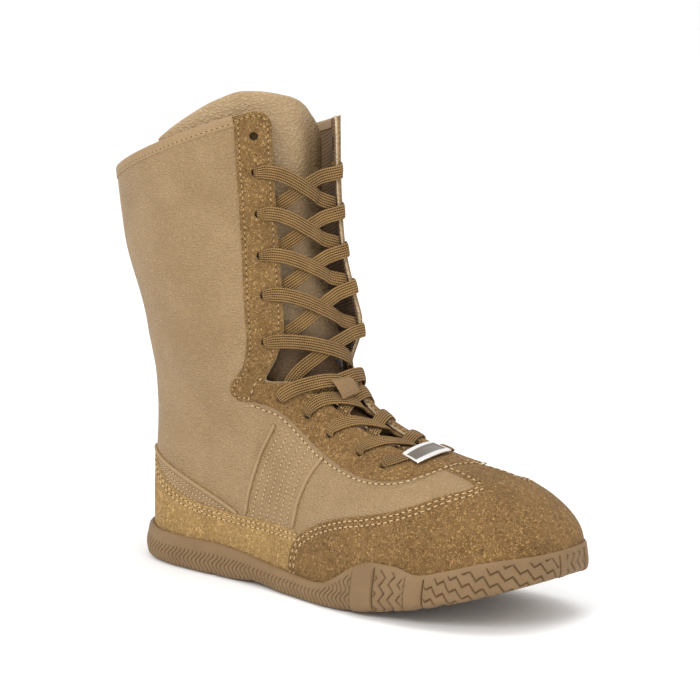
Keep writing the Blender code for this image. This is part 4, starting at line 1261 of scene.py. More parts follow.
class Repeater:
    """Puts one small shape again and again along runs, each turned with the run and the surface."""

    def __init__(self) -> None:
        """Builds the geometry tree."""
        tree = bpy.data.node_groups.new("Shape along a run", "GeometryNodeTree")
        self.tree = tree
        tree.interface.new_socket(name="Geometry", in_out="OUTPUT", socket_type="NodeSocketGeometry")
        tree_socket(tree, "Geometry", "NodeSocketGeometry")
        self.pitch = tree_socket(tree, "Pitch", "NodeSocketFloat", 4 * MM)
        self.length = tree_socket(tree, "Length", "NodeSocketFloat", 3 * MM)
        self.width = tree_socket(tree, "Width", "NodeSocketFloat", 0.8 * MM)
        self.thickness = tree_socket(tree, "Thickness", "NodeSocketFloat", 0.6 * MM)
        self.finish = tree_socket(tree, "Finish", "NodeSocketMaterial")
        g = Graph(tree)
        start, end = tree.nodes.new("NodeGroupInput"), tree.nodes.new("NodeGroupOutput")
        line = g.add("GeometryNodeMeshToCurve", {"Mesh": start.outputs["Geometry"]})
        even = g.add("GeometryNodeResampleCurve",
                     {"Curve": line.outputs[0], "Length": start.outputs["Pitch"]}, mode="LENGTH")
        ball = g.add("GeometryNodeMeshUVSphere", {"Segments": 8, "Rings": 5, "Radius": 0.5})
        size = g.add("ShaderNodeCombineXYZ", {0: start.outputs["Length"], 1: start.outputs["Width"],
                                              2: start.outputs["Thickness"]})
        up = g.add("GeometryNodeInputNamedAttribute", {"Name": "up"}, data_type="FLOAT_VECTOR")
        tangent = g.add("GeometryNodeInputTangent")
        first = g.add("FunctionNodeAlignRotationToVector", {"Vector": tangent.outputs[0]}, axis="X")
        second = g.add("FunctionNodeAlignRotationToVector", {"Rotation": first.outputs[0],
                                                             "Vector": up.outputs[0]}, axis="Z")
        second.pivot_axis = "X"
        placed = g.add("GeometryNodeInstanceOnPoints", {
            "Points": even.outputs[0], "Instance": ball.outputs["Mesh"], "Rotation": second.outputs[0],
            "Scale": size.outputs[0]})
        real = g.add("GeometryNodeRealizeInstances", {0: placed.outputs[0]})
        smooth = g.add("GeometryNodeSetShadeSmooth", {"Geometry": real.outputs[0]})
        dressed = g.add("GeometryNodeSetMaterial", {"Geometry": smooth.outputs[0],
                                                    "Material": start.outputs["Finish"]})
        tree.links.new(dressed.outputs[0], end.inputs[0])

    def build(self, name: str, runs: Sequence[Array], height: float, pitch: float,
              size: tuple[float, float, float], material: Material) -> Piece:
        """Makes one mesh of all the shapes along the runs.

        Args:
            name: The piece's name.
            runs: Runs of (w, v) over the last.
            height: Height of the shapes' middles above the form, in mm.
            pitch: Distance between shapes, in mm.
            size: Length, width and thickness of a shape, in mm.
            material: Its finish.

        Returns:
            The new object, a plain mesh.
        """
        points, ups, edges, first = [], [], [], 0
        for run in runs:
            at, up = LAST.frame_at(run[:, 0], run[:, 1], np.full(len(run), height))
            points.append(at)
            ups.append(up)
            edges += chain(len(run), first)
            first += len(run)
        return self.along(name, np.concatenate(points), np.concatenate(ups), edges, pitch, size, material)

    def along(self, name: str, points: Array, ups: Array, edges: list, pitch: float,
              size: tuple[float, float, float], material: Material) -> Piece:
        """The same along plain lines of points, in mm."""
        mesh = bpy.data.meshes.new(name)
        mesh.from_pydata((points * MM).tolist(), edges, [])
        attribute = mesh.attributes.new("up", "FLOAT_VECTOR", "POINT")
        attribute.data.foreach_set("vector", np.asarray(ups, np.float32).ravel())
        guide = linked(name, mesh)
        modifier = guide.modifiers.new("Rows", "NODES")
        modifier.node_group = self.tree
        for identifier, value in ((self.pitch, pitch), (self.length, size[0]), (self.width, size[1]),
                                  (self.thickness, size[2])):
            modifier[identifier] = value * MM
        modifier[self.finish] = material
        graph = bpy.context.evaluated_depsgraph_get()
        baked = bpy.data.meshes.new_from_object(guide.evaluated_get(graph))
        bpy.data.objects.remove(guide)
        baked.materials.clear()
        baked.materials.append(material)
        return linked(name, baked)


# --- the shoe's pieces --------------------------------------------------------------------------------
OUTER, INNER = -1, 1
Size = tuple[float, float, float]


def fit(thing: Piece, slot: str, *nodes: str) -> Piece:
    """Puts a piece on the boot's body and hides the solids that it takes the place of.

    Args:
        thing: The piece.
        slot: Its material slot; not used.
        nodes: Solids that it takes the place of.

    Returns:
        The same piece.
    """
    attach(thing, "boot")
    if nodes:
        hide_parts(*nodes)
    log.info("%s: %d faces", thing.name, len(thing.data.polygons))
    return thing


EyeletRow = namedtuple("EyeletRow", "level distance near far lift drop")
EYELETS = (
    EyeletRow(0.363, 32.6, 10.2, 10.2, 0.0, 0.0), EyeletRow(0.397, 34.9, 12.9, 12.9, 0.0, 0.0),
    EyeletRow(0.449, 37.8, 15.0, 15.0, 0.0, 0.0), EyeletRow(0.503, 38.9, 19.0, 16.0, 0.0, 0.0),
    EyeletRow(0.537, 48.5, 13.0, 33.0, 1.2, 0.0), EyeletRow(0.617, 36.2, 25.0, 23.5, 0.0, 0.006),
    EyeletRow(0.700, 31.0, 20.0, 20.0, 0.0, 0.010), EyeletRow(0.770, 29.8, 18.6, 18.6, 0.0, 0.012),
    EyeletRow(0.837, 29.0, 18.5, 18.5, 0.0, 0.013), EyeletRow(0.903, 29.2, 18.3, 18.3, 0.0, 0.014),
)
SPARE_EYELET = EyeletRow(0.960, 29.4, 18.2, 18.2, 0.0, 0.030)
INSTEP_ROWS = 5
SAG, SAG_LENGTH = 0.028, 110.0
CORNER_V = 0.9655
STAY_W = 0.255
COUNTER_OUTER, COUNTER_INNER = 46.0, 9.0
THROAT_SEWN = 0.505


def eyelet_level(row: EyeletRow, side: int) -> float:
    """Level of an eyelet, which sits a little lower on the inner side."""
    return row.level - (row.drop if side == INNER else 0.0)


def sag(side: int, distance: Array) -> Array:
    """How far the inner side's collar hangs down, in v, a distance behind the throat."""
    near = np.clip(1 - np.asarray(distance, float) / SAG_LENGTH, 0, 1)
    return (SAG if side == INNER else 0.0) * near * near * (3 - 2 * near)


def dropped(distance: Array, corner: float = 12.0) -> Array:
    """How far the collar's edge falls, in v, near the rounded corner of the stay."""
    inside = np.clip(1 - distance / corner, 0, 1)
    return (1 - np.sqrt(1 - inside ** 2)) * corner / 25.0 / LAST.collar_row


def collar_side(side: int, inset: float = 0.0, reach: float = 400.0) -> Array:
    """The collar's edge on one side, from the throat backwards, inset from both edges."""
    d = np.concatenate([12 * (1 - np.cos(np.linspace(0, math.pi / 2, 40))), np.linspace(12, reach, 200)[1:]])
    v = 1 - dropped(d) - inset / 340.0 - sag(side, d)
    w = LAST.throat_w(side * (LAST.throat["half_gap"](v) + inset + d), v)
    keep = np.abs(w) < 1
    return evened(np.stack([w[keep], v[keep]], -1))


@dataclass
class Upper:
    """Leather shell, lining and suede pieces, with their seams."""

    finishes: Finishes
    stitcher: Repeater
    shell_low: float = -1.4
    lining_low: float = -2.2
    stay_high: float = 0.85
    instep_high: float = 1.15
    hole_radius: float = 2.3
    floor_v: float = 0.004
    guard_high: float = 0.85
    guard_thread: float = 0.95
    foxing_high: float = 0.7
    foxing_thread: float = 0.78
    row_thread: float = 0.12
    saddle_rear: tuple = ((49, 24), (50, 38), (54, 55), (60, 72), (68, 88))
    saddle_front: tuple = ((87, 22), (87, 36), (90, 50), (96, 64), (103, 76))
    rows: dict[str, list] = field(default_factory=dict)
    covers: list[Array] = field(default_factory=list)

    def eyelets(self, side: int, rows: Sequence[EyeletRow]) -> list[Array]:
        """Holes of some eyelets on one side."""
        places = [LAST.across(side * row.distance, eyelet_level(row, side)) for row in rows]
        return [hole_loop(float(w), float(v), self.hole_radius) for w, v in places]

    def sheet_loop(self, inset: float) -> Array:
        """Outline of the whole upper from the toe round the inner side and back to the toe."""
        inner = throat_edge(INNER, 0.3405, CORNER_V - SAG, inset)
        outer = throat_edge(OUTER, 0.3405, CORNER_V, inset) + (2, 0)
        inner_top, outer_top = collar_side(INNER, inset), collar_side(OUTER, inset) + (2, 0)
        back = evened(np.array([outer_top[-1], inner_top[-1]]))
        inner[0, 0], outer[0, 0] = 0.0, 2.0
        inner[-1], outer[-1] = inner_top[0], outer_top[0]
        floor = evened(np.stack([np.linspace(0, 2, 400), np.full(400, self.floor_v)], -1))
        front = np.stack([np.full(60, 2.0), np.linspace(self.floor_v, outer[0, 1], 60)], -1)
        start = np.stack([np.zeros(60), np.linspace(inner[0, 1], self.floor_v, 60)], -1)
        return closed_loop([floor, front, outer, outer_top, back, inner_top[::-1], inner[::-1], start], 1)

    def build_sheets(self) -> None:
        """Leather outside and textile inside, both one sheet from toe to collar."""
        holes = []
        for side, turn in ((OUTER, 2), (INNER, 0)):
            holes += [hole + (turn, 0) for hole in self.eyelets(side, (*EYELETS, SPARE_EYELET))]
        shell = CutPiece("leather_shell", self.sheet_loop(0.0), self.shell_low, 0.0, 0.35, holes, 2.6)
        fit(shell.build(self.finishes.leather), "grained_leather", "upper")
        lining = CutPiece("textile_lining", self.sheet_loop(0.7), self.lining_low, self.shell_low - 0.02,
                          0.2, holes, 4.0)
        fit(lining.build(self.finishes.lining), "textile_lining")

    def build_backing(self) -> None:
        """Dark patches behind the unused top eyelets, which paint the shade in their holes."""
        for side, name in ((OUTER, "outer"), (INNER, "inner")):
            w, v = LAST.across(side * SPARE_EYELET.distance, eyelet_level(SPARE_EYELET, side))
            loop = hole_loop(float(w), float(v), self.hole_radius + 1.4)[::-1]
            patch = CutPiece(f"eyelet_backing_{name}", loop, self.lining_low - 0.5, self.lining_low - 0.05)
            fit(patch.build(self.finishes.needle), "textile_lining")

    def build_binding(self) -> None:
        """Soft binding folded over the collar, ending under the stays."""
        inner, outer = collar_side(INNER), collar_side(OUTER) + (2, 0)
        whole = np.concatenate([inner, outer[::-1]])
        path = evened(whole[(whole[:, 0] > STAY_W) & (whole[:, 0] < 2 - STAY_W)])
        section = ((-5.2, -0.1), (-5.2, 0.30), (-4.7, 0.55), (-3.6, 0.36), (-1.8, 0.55), (-0.6, 0.55),
                   (0.2, 0.3), (0.5, -0.3), (0.6, -1.2), (0.6, -2.1), (0.1, -2.7), (-1.2, -2.85),
                   (-4.6, -2.8), (-4.9, -2.2), (-4.4, -2.1), (-0.3, -2.1), (-0.1, -0.1))
        fit(band("collar_binding", path, section, self.finishes.collar), "grained_leather")
        self.rows["binding"] = [(beside(path, -3.6), 0.40)]

    def guard_side(self) -> tuple[Array, Array, Array]:
        """Rear seam, upper edge and front strip's edge of the toe guard on the outer side."""
        rear = smooth_run([(-0.565, self.floor_v), (-0.565, 0.027), (-0.562, 0.062), (-0.552, 0.092),
                           (-0.533, 0.119)])
        top = smooth_run([(-0.533, 0.119), (-0.502, 0.144), (-0.458, 0.169), (-0.397, 0.190),
                          (-0.348, 0.199), (-0.272, 0.214), (-0.162, 0.236), (-0.090, 0.257),
                          (-0.052, 0.266), (-0.036, 0.274)])
        strip = smooth_run([(-0.036, 0.274), (-0.033, 0.295), (-0.036, 0.334)])
        return rear, top, strip

    @staticmethod
    def inner_guard(run: Array) -> Array:
        """The same line on the inner side, where the strip that runs up is wider."""
        other = mirrored(run)
        other[:, 0] += 0.028 * np.clip(1 - (other[:, 0] - 0.033) / 0.15, 0, 1)
        return other

    def exposed(self, run: Array) -> Array:
        """The longest stretch of a run that no piece laid over the shell covers."""
        covered = np.zeros(len(run), bool)
        for loop in self.covers:
            for turn in (-2, 0, 2):
                covered |= inside_loop(run + (turn, 0), loop)
        edges = np.flatnonzero(np.diff(np.concatenate([[True], covered, [True]]).astype(int)))
        starts, ends = edges[::2], edges[1::2]
        longest = int((ends - starts).argmax())
        return run[starts[longest]:ends[longest]]

    def build_guard(self) -> None:
        """Suede toe guard with the strip that runs up to the lacing."""
        rear, top, strip = self.guard_side()
        half = np.concatenate([rear[:-1], top[:-1], strip])
        other = self.inner_guard(half)
        loop = closed_loop([half[::-1], evened(np.array([half[0], other[0]])), other,
                            evened(np.array([other[-1], half[-1]]))])
        piece = CutPiece("toe_guard", loop, high=self.guard_high)
        fit(piece.build(self.finishes.toe_suede), "suede")
        self.covers.append(loop)
        rows = self.rows["guard"] = []
        for run, insets in ((rear, (2.2, 5.0)), (top, (2.2, 5.0)), (strip, (2.2,))):
            for line, turn in ((run, -1), (self.inner_guard(run), 1)):
                rows += [(beside(line, inset * turn), self.guard_thread) for inset in insets]

    def stay_edge(self) -> Array:
        """Outer edge of the instep stay on the outer side, from the middle backwards."""
        return smooth_run([(-0.004, 0.325), (-0.035, 0.322), (-0.070, 0.314), (-0.107, 0.305),
                           (-0.150, 0.298), (-0.198, 0.297), (-0.255, 0.305), (-0.297, 0.329),
                           (-0.320, 0.356), (-0.338, 0.404), (-0.367, 0.465), (-0.443, 0.500)])

    def build_instep_stay(self) -> None:
        """U-shaped suede stay round the foot of the throat."""
        edge = self.stay_edge()
        throat = throat_edge(OUTER, 0.3425, 0.541, 0.2)
        seam = smooth_run([tuple(edge[-1]), (-0.405, 0.520), (-0.365, 0.535), tuple(throat[-1])])
        half = np.concatenate([edge[:-1], seam[:-1], throat[::-1]])
        inner_edge, inner_seam = mirrored(edge), mirrored(seam)
        inner_throat = throat_edge(INNER, 0.3425, 0.541, 0.2)
        inner_seam[0], inner_seam[-1] = inner_edge[-1], inner_throat[-1]
        loop = closed_loop([half, evened(np.array([half[-1], inner_throat[0]]), 1.0), inner_throat,
                            inner_seam[::-1], inner_edge[::-1],
                            evened(np.array([inner_edge[0], edge[0]]), 1.0)])
        holes = self.eyelets(OUTER, EYELETS[:INSTEP_ROWS]) + self.eyelets(INNER, EYELETS[:INSTEP_ROWS])
        self.covers.append(loop)
        piece = CutPiece("instep_stay", loop, high=self.instep_high, holes=holes, spacing=2.2)
        fit(piece.build(self.finishes.toe_suede), "suede")
        height = self.instep_high + 0.08
        self.rows["stay"] = [(beside(line, 2.3 * turn), height) for line, turn in
                             ((edge, 1), (inner_edge, -1), (seam, 1), (inner_seam, -1))]
        fine = [beside(line, 2.2 * turn) for line, turn in ((throat, -1), (inner_throat, 1))]
        self.rows["fine"] = [(row[row[:, 1] < THROAT_SEWN], height) for row in fine]

    def build_shaft_stay(self, side: int) -> None:
        """Straight suede stay that carries the upper eyelets."""
        front = throat_edge(side, 0.541, CORNER_V - float(sag(side, 0.0)), 0.2)
        top = collar_side(side, 0.2, reach=27.0)
        front[-1] = top[0]
        whole = collar_side(side, 0.2)
        corner = float(np.interp(STAY_W, np.abs(whole[:, 0]), whole[:, 1]))
        rear = smooth_run([(-STAY_W, corner), (-0.255, 0.942), (-0.260, 0.877), (-0.272, 0.813),
                           (-0.287, 0.746), (-0.305, 0.677), (-0.328, 0.623), (-0.382, 0.580),
                           (-0.458, 0.551), (-0.488, 0.532), (-0.490, 0.511), (-0.443, 0.497)])
        rear = rear if side == OUTER else mirrored(rear)
        top = np.concatenate([top[:-1], [rear[0]]])
        low = evened(np.array([rear[-1], front[0]]))
        loop = closed_loop([front, evened(top), rear, low])
        self.covers.append(loop)
        piece = CutPiece(f"shaft_stay_{'outer' if side == OUTER else 'inner'}", loop, high=self.stay_high,
                         holes=self.eyelets(side, (*EYELETS[INSTEP_ROWS:], SPARE_EYELET)))
        fit(piece.build(self.finishes.suede), "suede")
        height = self.stay_high + 0.05
        turn = -side
        inset = beside(rear, 2.2 * turn)
        self.rows["fine"].append((inset[2:-2], height))
        edge = evened(np.concatenate([front[8:-1], top]))
        self.rows["fine"].append((beside(edge, 2.4 * turn)[:-2], height))

    def build_foxing(self) -> None:
        """Suede heel piece, from the guard's rear seam round the back."""
        half = smooth_run([(-0.540, 0.129), (-0.580, 0.131), (-0.640, 0.134), (-0.720, 0.139),
                           (-0.780, 0.152), (-0.828, 0.182), (-0.853, 0.214), (-0.882, 0.276),
                           (-0.912, 0.334), (-0.955, 0.357), (-1.0, 0.362)])
        outer, inner = half + (2, 0), half * (-1, 1)
        front = evened(np.array([(1.46, self.floor_v), (1.46, 0.129)]))
        back = evened(np.array([(0.54, 0.129), (0.54, self.floor_v)]))
        floor = evened(np.array([(0.54, self.floor_v), (1.46, self.floor_v)]))
        loop = closed_loop([floor, front, outer, inner[::-1], back])
        self.covers.append(loop)
        piece = CutPiece("heel_foxing", loop, high=self.foxing_high)
        # The lighter heel suede paints the light that falls on the heel.
        fit(piece.build(self.finishes.foxing), "suede")
        for line, turn in ((outer, 1), (inner, -1)):
            for inset in (2.2, 4.8):
                self.rows["guard"].append((beside(line, inset * turn), self.foxing_thread))

    def build_saddle(self) -> None:
        """Corded lines and rows of stitching on the sides, and the counter's corded line."""
        stitched = self.rows["row"] = []
        for side, name in ((OUTER, "outer"), (INNER, "inner")):
            rear = smooth_run([LAST.on_side(side, x, z) for x, z in self.saddle_rear], 0.6)
            front = smooth_run([LAST.on_side(side, x, z) for x, z in self.saddle_front], 0.6)
            paired = front[np.linspace(0, len(front) - 1, len(rear)).round().astype(int)]
            reach = COUNTER_OUTER if side == OUTER else COUNTER_INNER
            counter = [(x, 34 + 27 * (max(48 - x, 0) / 79) ** 0.85) for x in np.linspace(reach, -31, 9)]
            level = LAST.on_side(side, -31.0, 61.0)[1]
            ends = [(side * 0.935, level + 0.002), (side * 0.972, level + 0.003)]
            heel = smooth_run([LAST.on_side(side, float(x), float(z)) for x, z in counter] + ends, 0.6)
            for piece, run in (("saddle_cord_rear", rear), ("saddle_cord_front", front),
                               ("counter_cord", heel)):
                fit(band(f"{piece}_{name}", self.exposed(run), cord_section(1.0), self.finishes.cord, 3.0),
                    "grained_leather")
            between = [evened(rear + (paired - rear) * k / 7) for k in range(1, 7)]
            under = [beside(heel, 2.9 * k * -side) for k in (1, 2, 3)]
            stitched += [(self.exposed(run), self.row_thread) for run in between + under]

    def build_back_seam(self) -> None:
        """Narrow strip over the back seam, from the foxing to the collar."""
        path = smooth_run([(1.0, 0.35), (1.0, 0.5), (1.0, 0.7), (1.0, 0.975)])
        section = ((-7.5, -0.1), (-7.5, 0.35), (-7.1, 0.65), (-6.4, 0.75), (6.4, 0.75), (7.1, 0.65),
                   (7.5, 0.35), (7.5, -0.1))
        fit(band("back_strip", path, section, self.finishes.leather), "grained_leather")
        for offset in (-5.4, 5.4):
            self.rows["fine"].append((beside(path, offset), self.foxing_thread))

    def build_stitches(self) -> None:
        """All the rows of thread, with dark marks between them that paint the shade in the stitch holes."""
        pale, brown, dark = self.finishes.thread, self.finishes.brown_thread, self.finishes.needle
        kinds = {"guard": (pale, (2.5, 0.75, 0.55), (1.0, 0.72, 0.4), 3.6),
                 "stay": (pale, (2.4, 0.70, 0.55), (1.0, 0.72, 0.4), 3.5),
                 "fine": (brown, (1.9, 0.60, 0.45), (1.1, 0.80, 0.4), 3.0),
                 "binding": (brown, (1.7, 0.50, 0.30), (1.3, 0.55, 0.35), 3.1),
                 "row": (pale, (1.6, 0.55, 0.45), (0.5, 0.40, 0.3), 2.5)}
        for kind, lines in self.rows.items():
            thread, stitch, hole, pitch = kinds[kind]
            for name, material, back, shape, rise in (
                    ("stitches", thread, 0.0, stitch, 0.0),
                    ("needle_holes", dark, pitch / 2, hole, -0.05)):
                points, ups, edges, first = [], [], [], 0
                for run, height in lines:
                    run = evened(run, 1.0)
                    at, up = LAST.frame_at(run[:, 0], run[:, 1], np.full(len(run), height + rise))
                    length = travelled(at)
                    if length[-1] < 3 * pitch:
                        continue
                    whole = int((length[-1] - back) / pitch) * pitch
                    span = np.linspace(back, back + whole, len(run))
                    points.append(read_at(span, length, at))
                    ups.append(read_at(span, length, up))
                    edges += chain(len(span), first)
                    first += len(span)
                thing = self.stitcher.along(f"{name}_{kind}", np.concatenate(points), np.concatenate(ups),
                                            edges, pitch, shape, material)
                fit(thing, "stitching")

    def build(self) -> None:
        """Builds the whole upper."""
        self.build_sheets()
        self.build_backing()
        self.build_binding()
        self.build_guard()
        self.build_instep_stay()
        self.build_shaft_stay(OUTER)
        self.build_shaft_stay(INNER)
        self.build_foxing()
        self.build_saddle()
        self.build_back_seam()
        self.build_stitches()


TongueRow = namedtuple("TongueRow", "t outer inner middle_depth edge_depth")


@dataclass
class Tongue:
    """Padded leather tongue that stands a little over the collar."""

    finishes: Finishes
    table: tuple[TongueRow, ...] = (
        TongueRow(0.00, 14, 14, 2.8, 2.8),
        TongueRow(0.07, 18, 18, 4.8, 4.6),
        TongueRow(0.20, 26, 26, 5.1, 4.9),
        TongueRow(0.30, 57, 50, 6.8, 6.0),
        TongueRow(0.40, 58, 50, 7.6, 6.6),
        TongueRow(0.60, 62, 50, 8.2, 6.4),
        TongueRow(0.80, 80, 54, 8.8, 5.2),
        TongueRow(1.00, 98, 56, 9.6, 4.2),
    )
    base: float = 0.322
    top_line: tuple[tuple[float, float], ...] = (
        (-1.00, 1.012), (-0.90, 1.020), (-0.75, 1.029), (-0.61, 1.035), (-0.44, 1.037), (-0.30, 1.030),
        (-0.16, 1.019), (0.00, 1.006), (0.30, 0.990), (0.60, 0.970), (1.00, 0.945),
    )
    inner_sunk: float = 4.2
    thick: float = 3.0
    shade_from: float = 0.62
    shade_over: float = 0.26
    rows: int = 190
    columns: int = 90

    def build(self) -> None:
        """Builds the tongue as one closed sheet with a rolled edge."""
        columns = profiles(self.table, "t", "outer inner middle_depth edge_depth")
        top_line = Profile([place for place, _ in self.top_line], [v for _, v in self.top_line])
        angles = np.linspace(-math.pi / 2, math.pi / 2, 9)[1:-1]
        roll = self.thick / 2
        flat = np.linspace(-1, 1, self.columns)
        t = np.linspace(0, 1, self.rows)
        ends = 1 - np.clip(np.maximum(0.004 - t, t - 0.996) / 0.004, 0, 1) ** 2
        loops = []
        # Painted shade: the tongue grows darker towards its foot, deep in the throat, through its cut
        # values.
        shade = np.clip((self.shade_from - t) / self.shade_over, 0, 1)
        for at, full in zip(t, ends):
            half = roll * math.sqrt(max(full, 0.0)) + 0.05
            outer, inner = float(columns["outer"](at)), float(columns["inner"](at))
            middle, edge = float(columns["middle_depth"](at)), float(columns["edge_depth"](at))
            s = np.where(flat < 0, flat * outer, flat * inner)
            depth = middle + (edge - middle) * flat ** 2
            inward = np.clip(flat / 0.5, 0, 1) * share_past(at, 0.35, 0.3)
            depth = depth + self.inner_sunk * inward * inward * (3 - 2 * inward)
            v = self.base + (top_line(flat) - self.base) * at
            puff = 0.7 * np.sin(at * 34) * np.exp(-(flat / 0.35) ** 2) * (at < 0.8)
            upper = (s, v, -depth - roll + half + puff)
            lower = (s[::-1], v[::-1], (-depth - roll - half)[::-1])
            right = (s[-1] + half * np.cos(angles), np.full(7, v[-1]),
                     -depth[-1] - roll - half * np.sin(angles))
            left = (s[0] - half * np.cos(angles), np.full(7, v[0]),
                    -depth[0] - roll + half * np.sin(angles))
            loops.append([np.concatenate(parts) for parts in zip(upper, right, lower, left)])
        grid = np.array(loops)
        s, level, height = grid[:, 0], grid[:, 1], grid[:, 2]
        w, v = LAST.across(s, level)
        points = LAST.point(w, v, height, flared=False)
        count = points.shape[1]
        uv = np.stack([s, level * 270], -1).reshape(-1, 2)
        thing = mesh_object("tongue_leather", points.reshape(-1, 3), tube_faces(self.rows, count),
                            self.finishes.tongue, uv, sharp=80,
                            extra={"cut": np.repeat(shade, count)})
        fit(outward(thing), "tongue_leather", "tongue")


@dataclass
class Lacing:
    """One flat braid through the eyelets, with the keeper and the metal plate that ride on it."""

    finishes: Finishes
    stitcher: Repeater
    width: float = 7.6
    thick: float = 1.7
    bunched: tuple[float, float] = (5.2, 2.5)
    on_instep: float = 2.1
    on_shaft: float = 1.8
    over: float = 0.6
    under: float = -1.2
    below: float = -2.95
    bow: float = 0.011
    tightness: float = 0.75

    def strand(self, side: int, number: int, over: bool) -> Array:
        """Knots of one strand, from an eyelet to the one below it on the other side.

        Args:
            side: Side of the upper eyelet.
            number: Row of the upper eyelet.
            over: Whether it crosses above the other strand of its pair.

        Returns:
            Rows of distance from the throat's middle, level and height.
        """
        upper, lower = EYELETS[number], EYELETS[number - 1]
        on_stay = self.on_instep if number < INSTEP_ROWS else self.on_shaft
        start, end = upper.distance, -lower.distance
        middle = self.over if over else self.under
        near, far = upper.near, -lower.far
        knots = [(start, 0.1), (start - 1.2, on_stay + 0.25 + upper.lift * 0.5),
                 (start - 4.0, on_stay + 0.1 + upper.lift), ((start + near) / 2, on_stay + upper.lift),
                 (near, on_stay + 0.1 + upper.lift), (near - 3.5, on_stay - 0.2 + upper.lift),
                 (near / 2.2, (on_stay + middle) / 2 + upper.lift * 0.8), (0.0, middle + upper.lift * 0.5),
                 (far / 2.2, (middle + self.below) / 2 + 0.7), (far + 3.2, self.below + 0.45),
                 (far, self.below), ((far + end) / 2, self.below), (end + 2.5, self.below - 0.1),
                 (end, -1.6)]
        s = np.array([knot[0] for knot in knots])
        height = np.array([knot[1] for knot in knots])
        share = eased(np.clip((start - s) / (start - end), 0, 1))
        high, low = eyelet_level(upper, side), eyelet_level(lower, -side)
        level = high + (low - high) * share
        return np.stack([side * s, level, height], -1)

    def path(self) -> Array:
        """The whole lace: one strand down from the outer top eyelet, the bar, and one back up."""
        top = len(EYELETS) - 1
        knots: list[Array] = []
        side = OUTER
        knots.append(np.array([[OUTER * (EYELETS[top].distance - 5), EYELETS[top].level, self.below]]))
        for number in range(top, 0, -1):
            knots.append(self.strand(side, number, over=side == OUTER))
            side = -side
        first = EYELETS[0]
        s = side * np.array([1.0, 0.96, 0.87, 0.6, 0.3, 0, -0.3, -0.6, -0.87, -0.96, -1.0]) * first.distance
        height = np.full(len(s), self.on_instep)
        height[0] = height[-1] = 0.1
        bowed = first.level - self.bow * (1 - (s / first.distance) ** 2)
        knots.append(np.stack([s, bowed, height], -1))
        back = []
        side = INNER
        for number in range(top, 0, -1):
            back.append(self.strand(side, number, over=side == OUTER))
            side = -side
        knots += [part[::-1] for part in back[::-1]]
        knots.append(np.array([[INNER * (EYELETS[top].distance - 5), eyelet_level(EYELETS[top], INNER),
                                self.below]]))
        return np.concatenate(knots)

    def braid(self) -> None:
        """Sweeps the braid along its path."""
        knots = self.path()
        w, v = LAST.across(knots[:, 0], knots[:, 1])
        base, up = LAST.frame_at(w, v, knots[:, 2])
        length = travelled(base)
        keep = np.concatenate([[True], np.diff(length) > 0.05])
        knots, length = knots[keep], length[keep]
        slope = np.gradient(knots, length, axis=0)
        fine = np.arange(0, length[-1], 1.1)
        run = curve_through(length, knots, slope, fine, self.tightness)
        w, v = LAST.across(run[:, 0], run[:, 1])
        points, up = LAST.frame_at(w, v, run[:, 2])
        ahead_w, ahead_v = LAST.across(run[:, 0], run[:, 1] + 0.002)
        along = LAST.ring_point(ahead_w, ahead_v) - LAST.ring_point(w, v)
        along -= (along * up).sum(-1, keepdims=True) * up
        tangent = unit(np.gradient(points, axis=0))
        wide = along - (along * tangent).sum(-1, keepdims=True) * tangent
        for _ in range(4):
            wide = wide * 0.5 + (np.roll(wide, 1, 0) + np.roll(wide, -1, 0)) * 0.25
        wide = unit(wide - (wide * tangent).sum(-1, keepdims=True) * tangent)
        thick = np.cross(tangent, wide)
        holes = np.concatenate([[LAST.point(*LAST.across(side * row.distance, eyelet_level(row, side)))
                                 for row in EYELETS] for side in (OUTER, INNER)])
        gap = np.linalg.norm(points[:, None] - holes[None], axis=-1).min(1)
        open_share = eased(share_past(gap, 0.8, 5.0))
        half_width = (self.bunched[0] + (self.width - self.bunched[0]) * open_share) / 2
        half_thick = (self.bunched[1] + (self.thick - self.bunched[1]) * open_share) / 2
        lace = sweep("flat_lace", points, wide, thick, half_width, half_thick, self.finishes.lace,
                     sides=20, power=2.6)
        nodes = ["lace_bar"] + [f"lace_cross_{k}" for k in range(1, len(EYELETS))]
        fit(lace, "lace_braid", *nodes)

    def over_throat(self, rows: Sequence[tuple[float, float]], s: float = 0.0, skew: float = 0.0,
                    samples: int = 40) -> tuple[Array, Array, Array]:
        """Points, directions of the width and outward directions of a strap along the throat."""
        table = np.array(rows)
        t = np.concatenate([[0], np.cumsum(np.hypot(np.diff(table[:, 0]) * 300, np.diff(table[:, 1])))])
        even = np.linspace(0, t[-1], samples)
        slope = np.gradient(table, t, axis=0)
        run = curve_through(t, table, slope, even)
        w, v = LAST.across(s + skew * even, run[:, 0])
        points, _ = LAST.frame_at(w, v, run[:, 1])
        side_w, side_v = LAST.across(s + skew * even + 0.5, run[:, 0])
        across = LAST.ring_point(side_w, side_v) - LAST.ring_point(w, v)
        tangent = unit(np.gradient(points, axis=0))
        wide = unit(across - (across * tangent).sum(-1, keepdims=True) * tangent)
        return points, wide, np.cross(wide, tangent)

    def keeper(self) -> None:
        """Leather loop on the tongue that the laces pass under."""
        rows = [(0.524, -3.9), (0.5225, 0.3), (0.518, 2.7), (0.510, 3.8), (0.498, 4.0), (0.488, 3.6),
                (0.480, 2.7)]
        points, wide, up = self.over_throat(rows, s=0.5)
        strap = sweep("lace_keeper_strap", points, wide, up, 6.5, 0.6, self.finishes.keeper, 16, 5.0)
        fit(strap, "keeper_leather", "lace_keeper")
        sewn = slice(12, -3)
        line = points[sewn] + up[sewn] * 0.66 - wide[sewn] * 4.8
        fit(self.stitcher.along("keeper_stitches", line, up[sewn], chain(len(line)), 3.2, (2.4, 0.8, 0.6),
                                self.finishes.thread), "stitching")

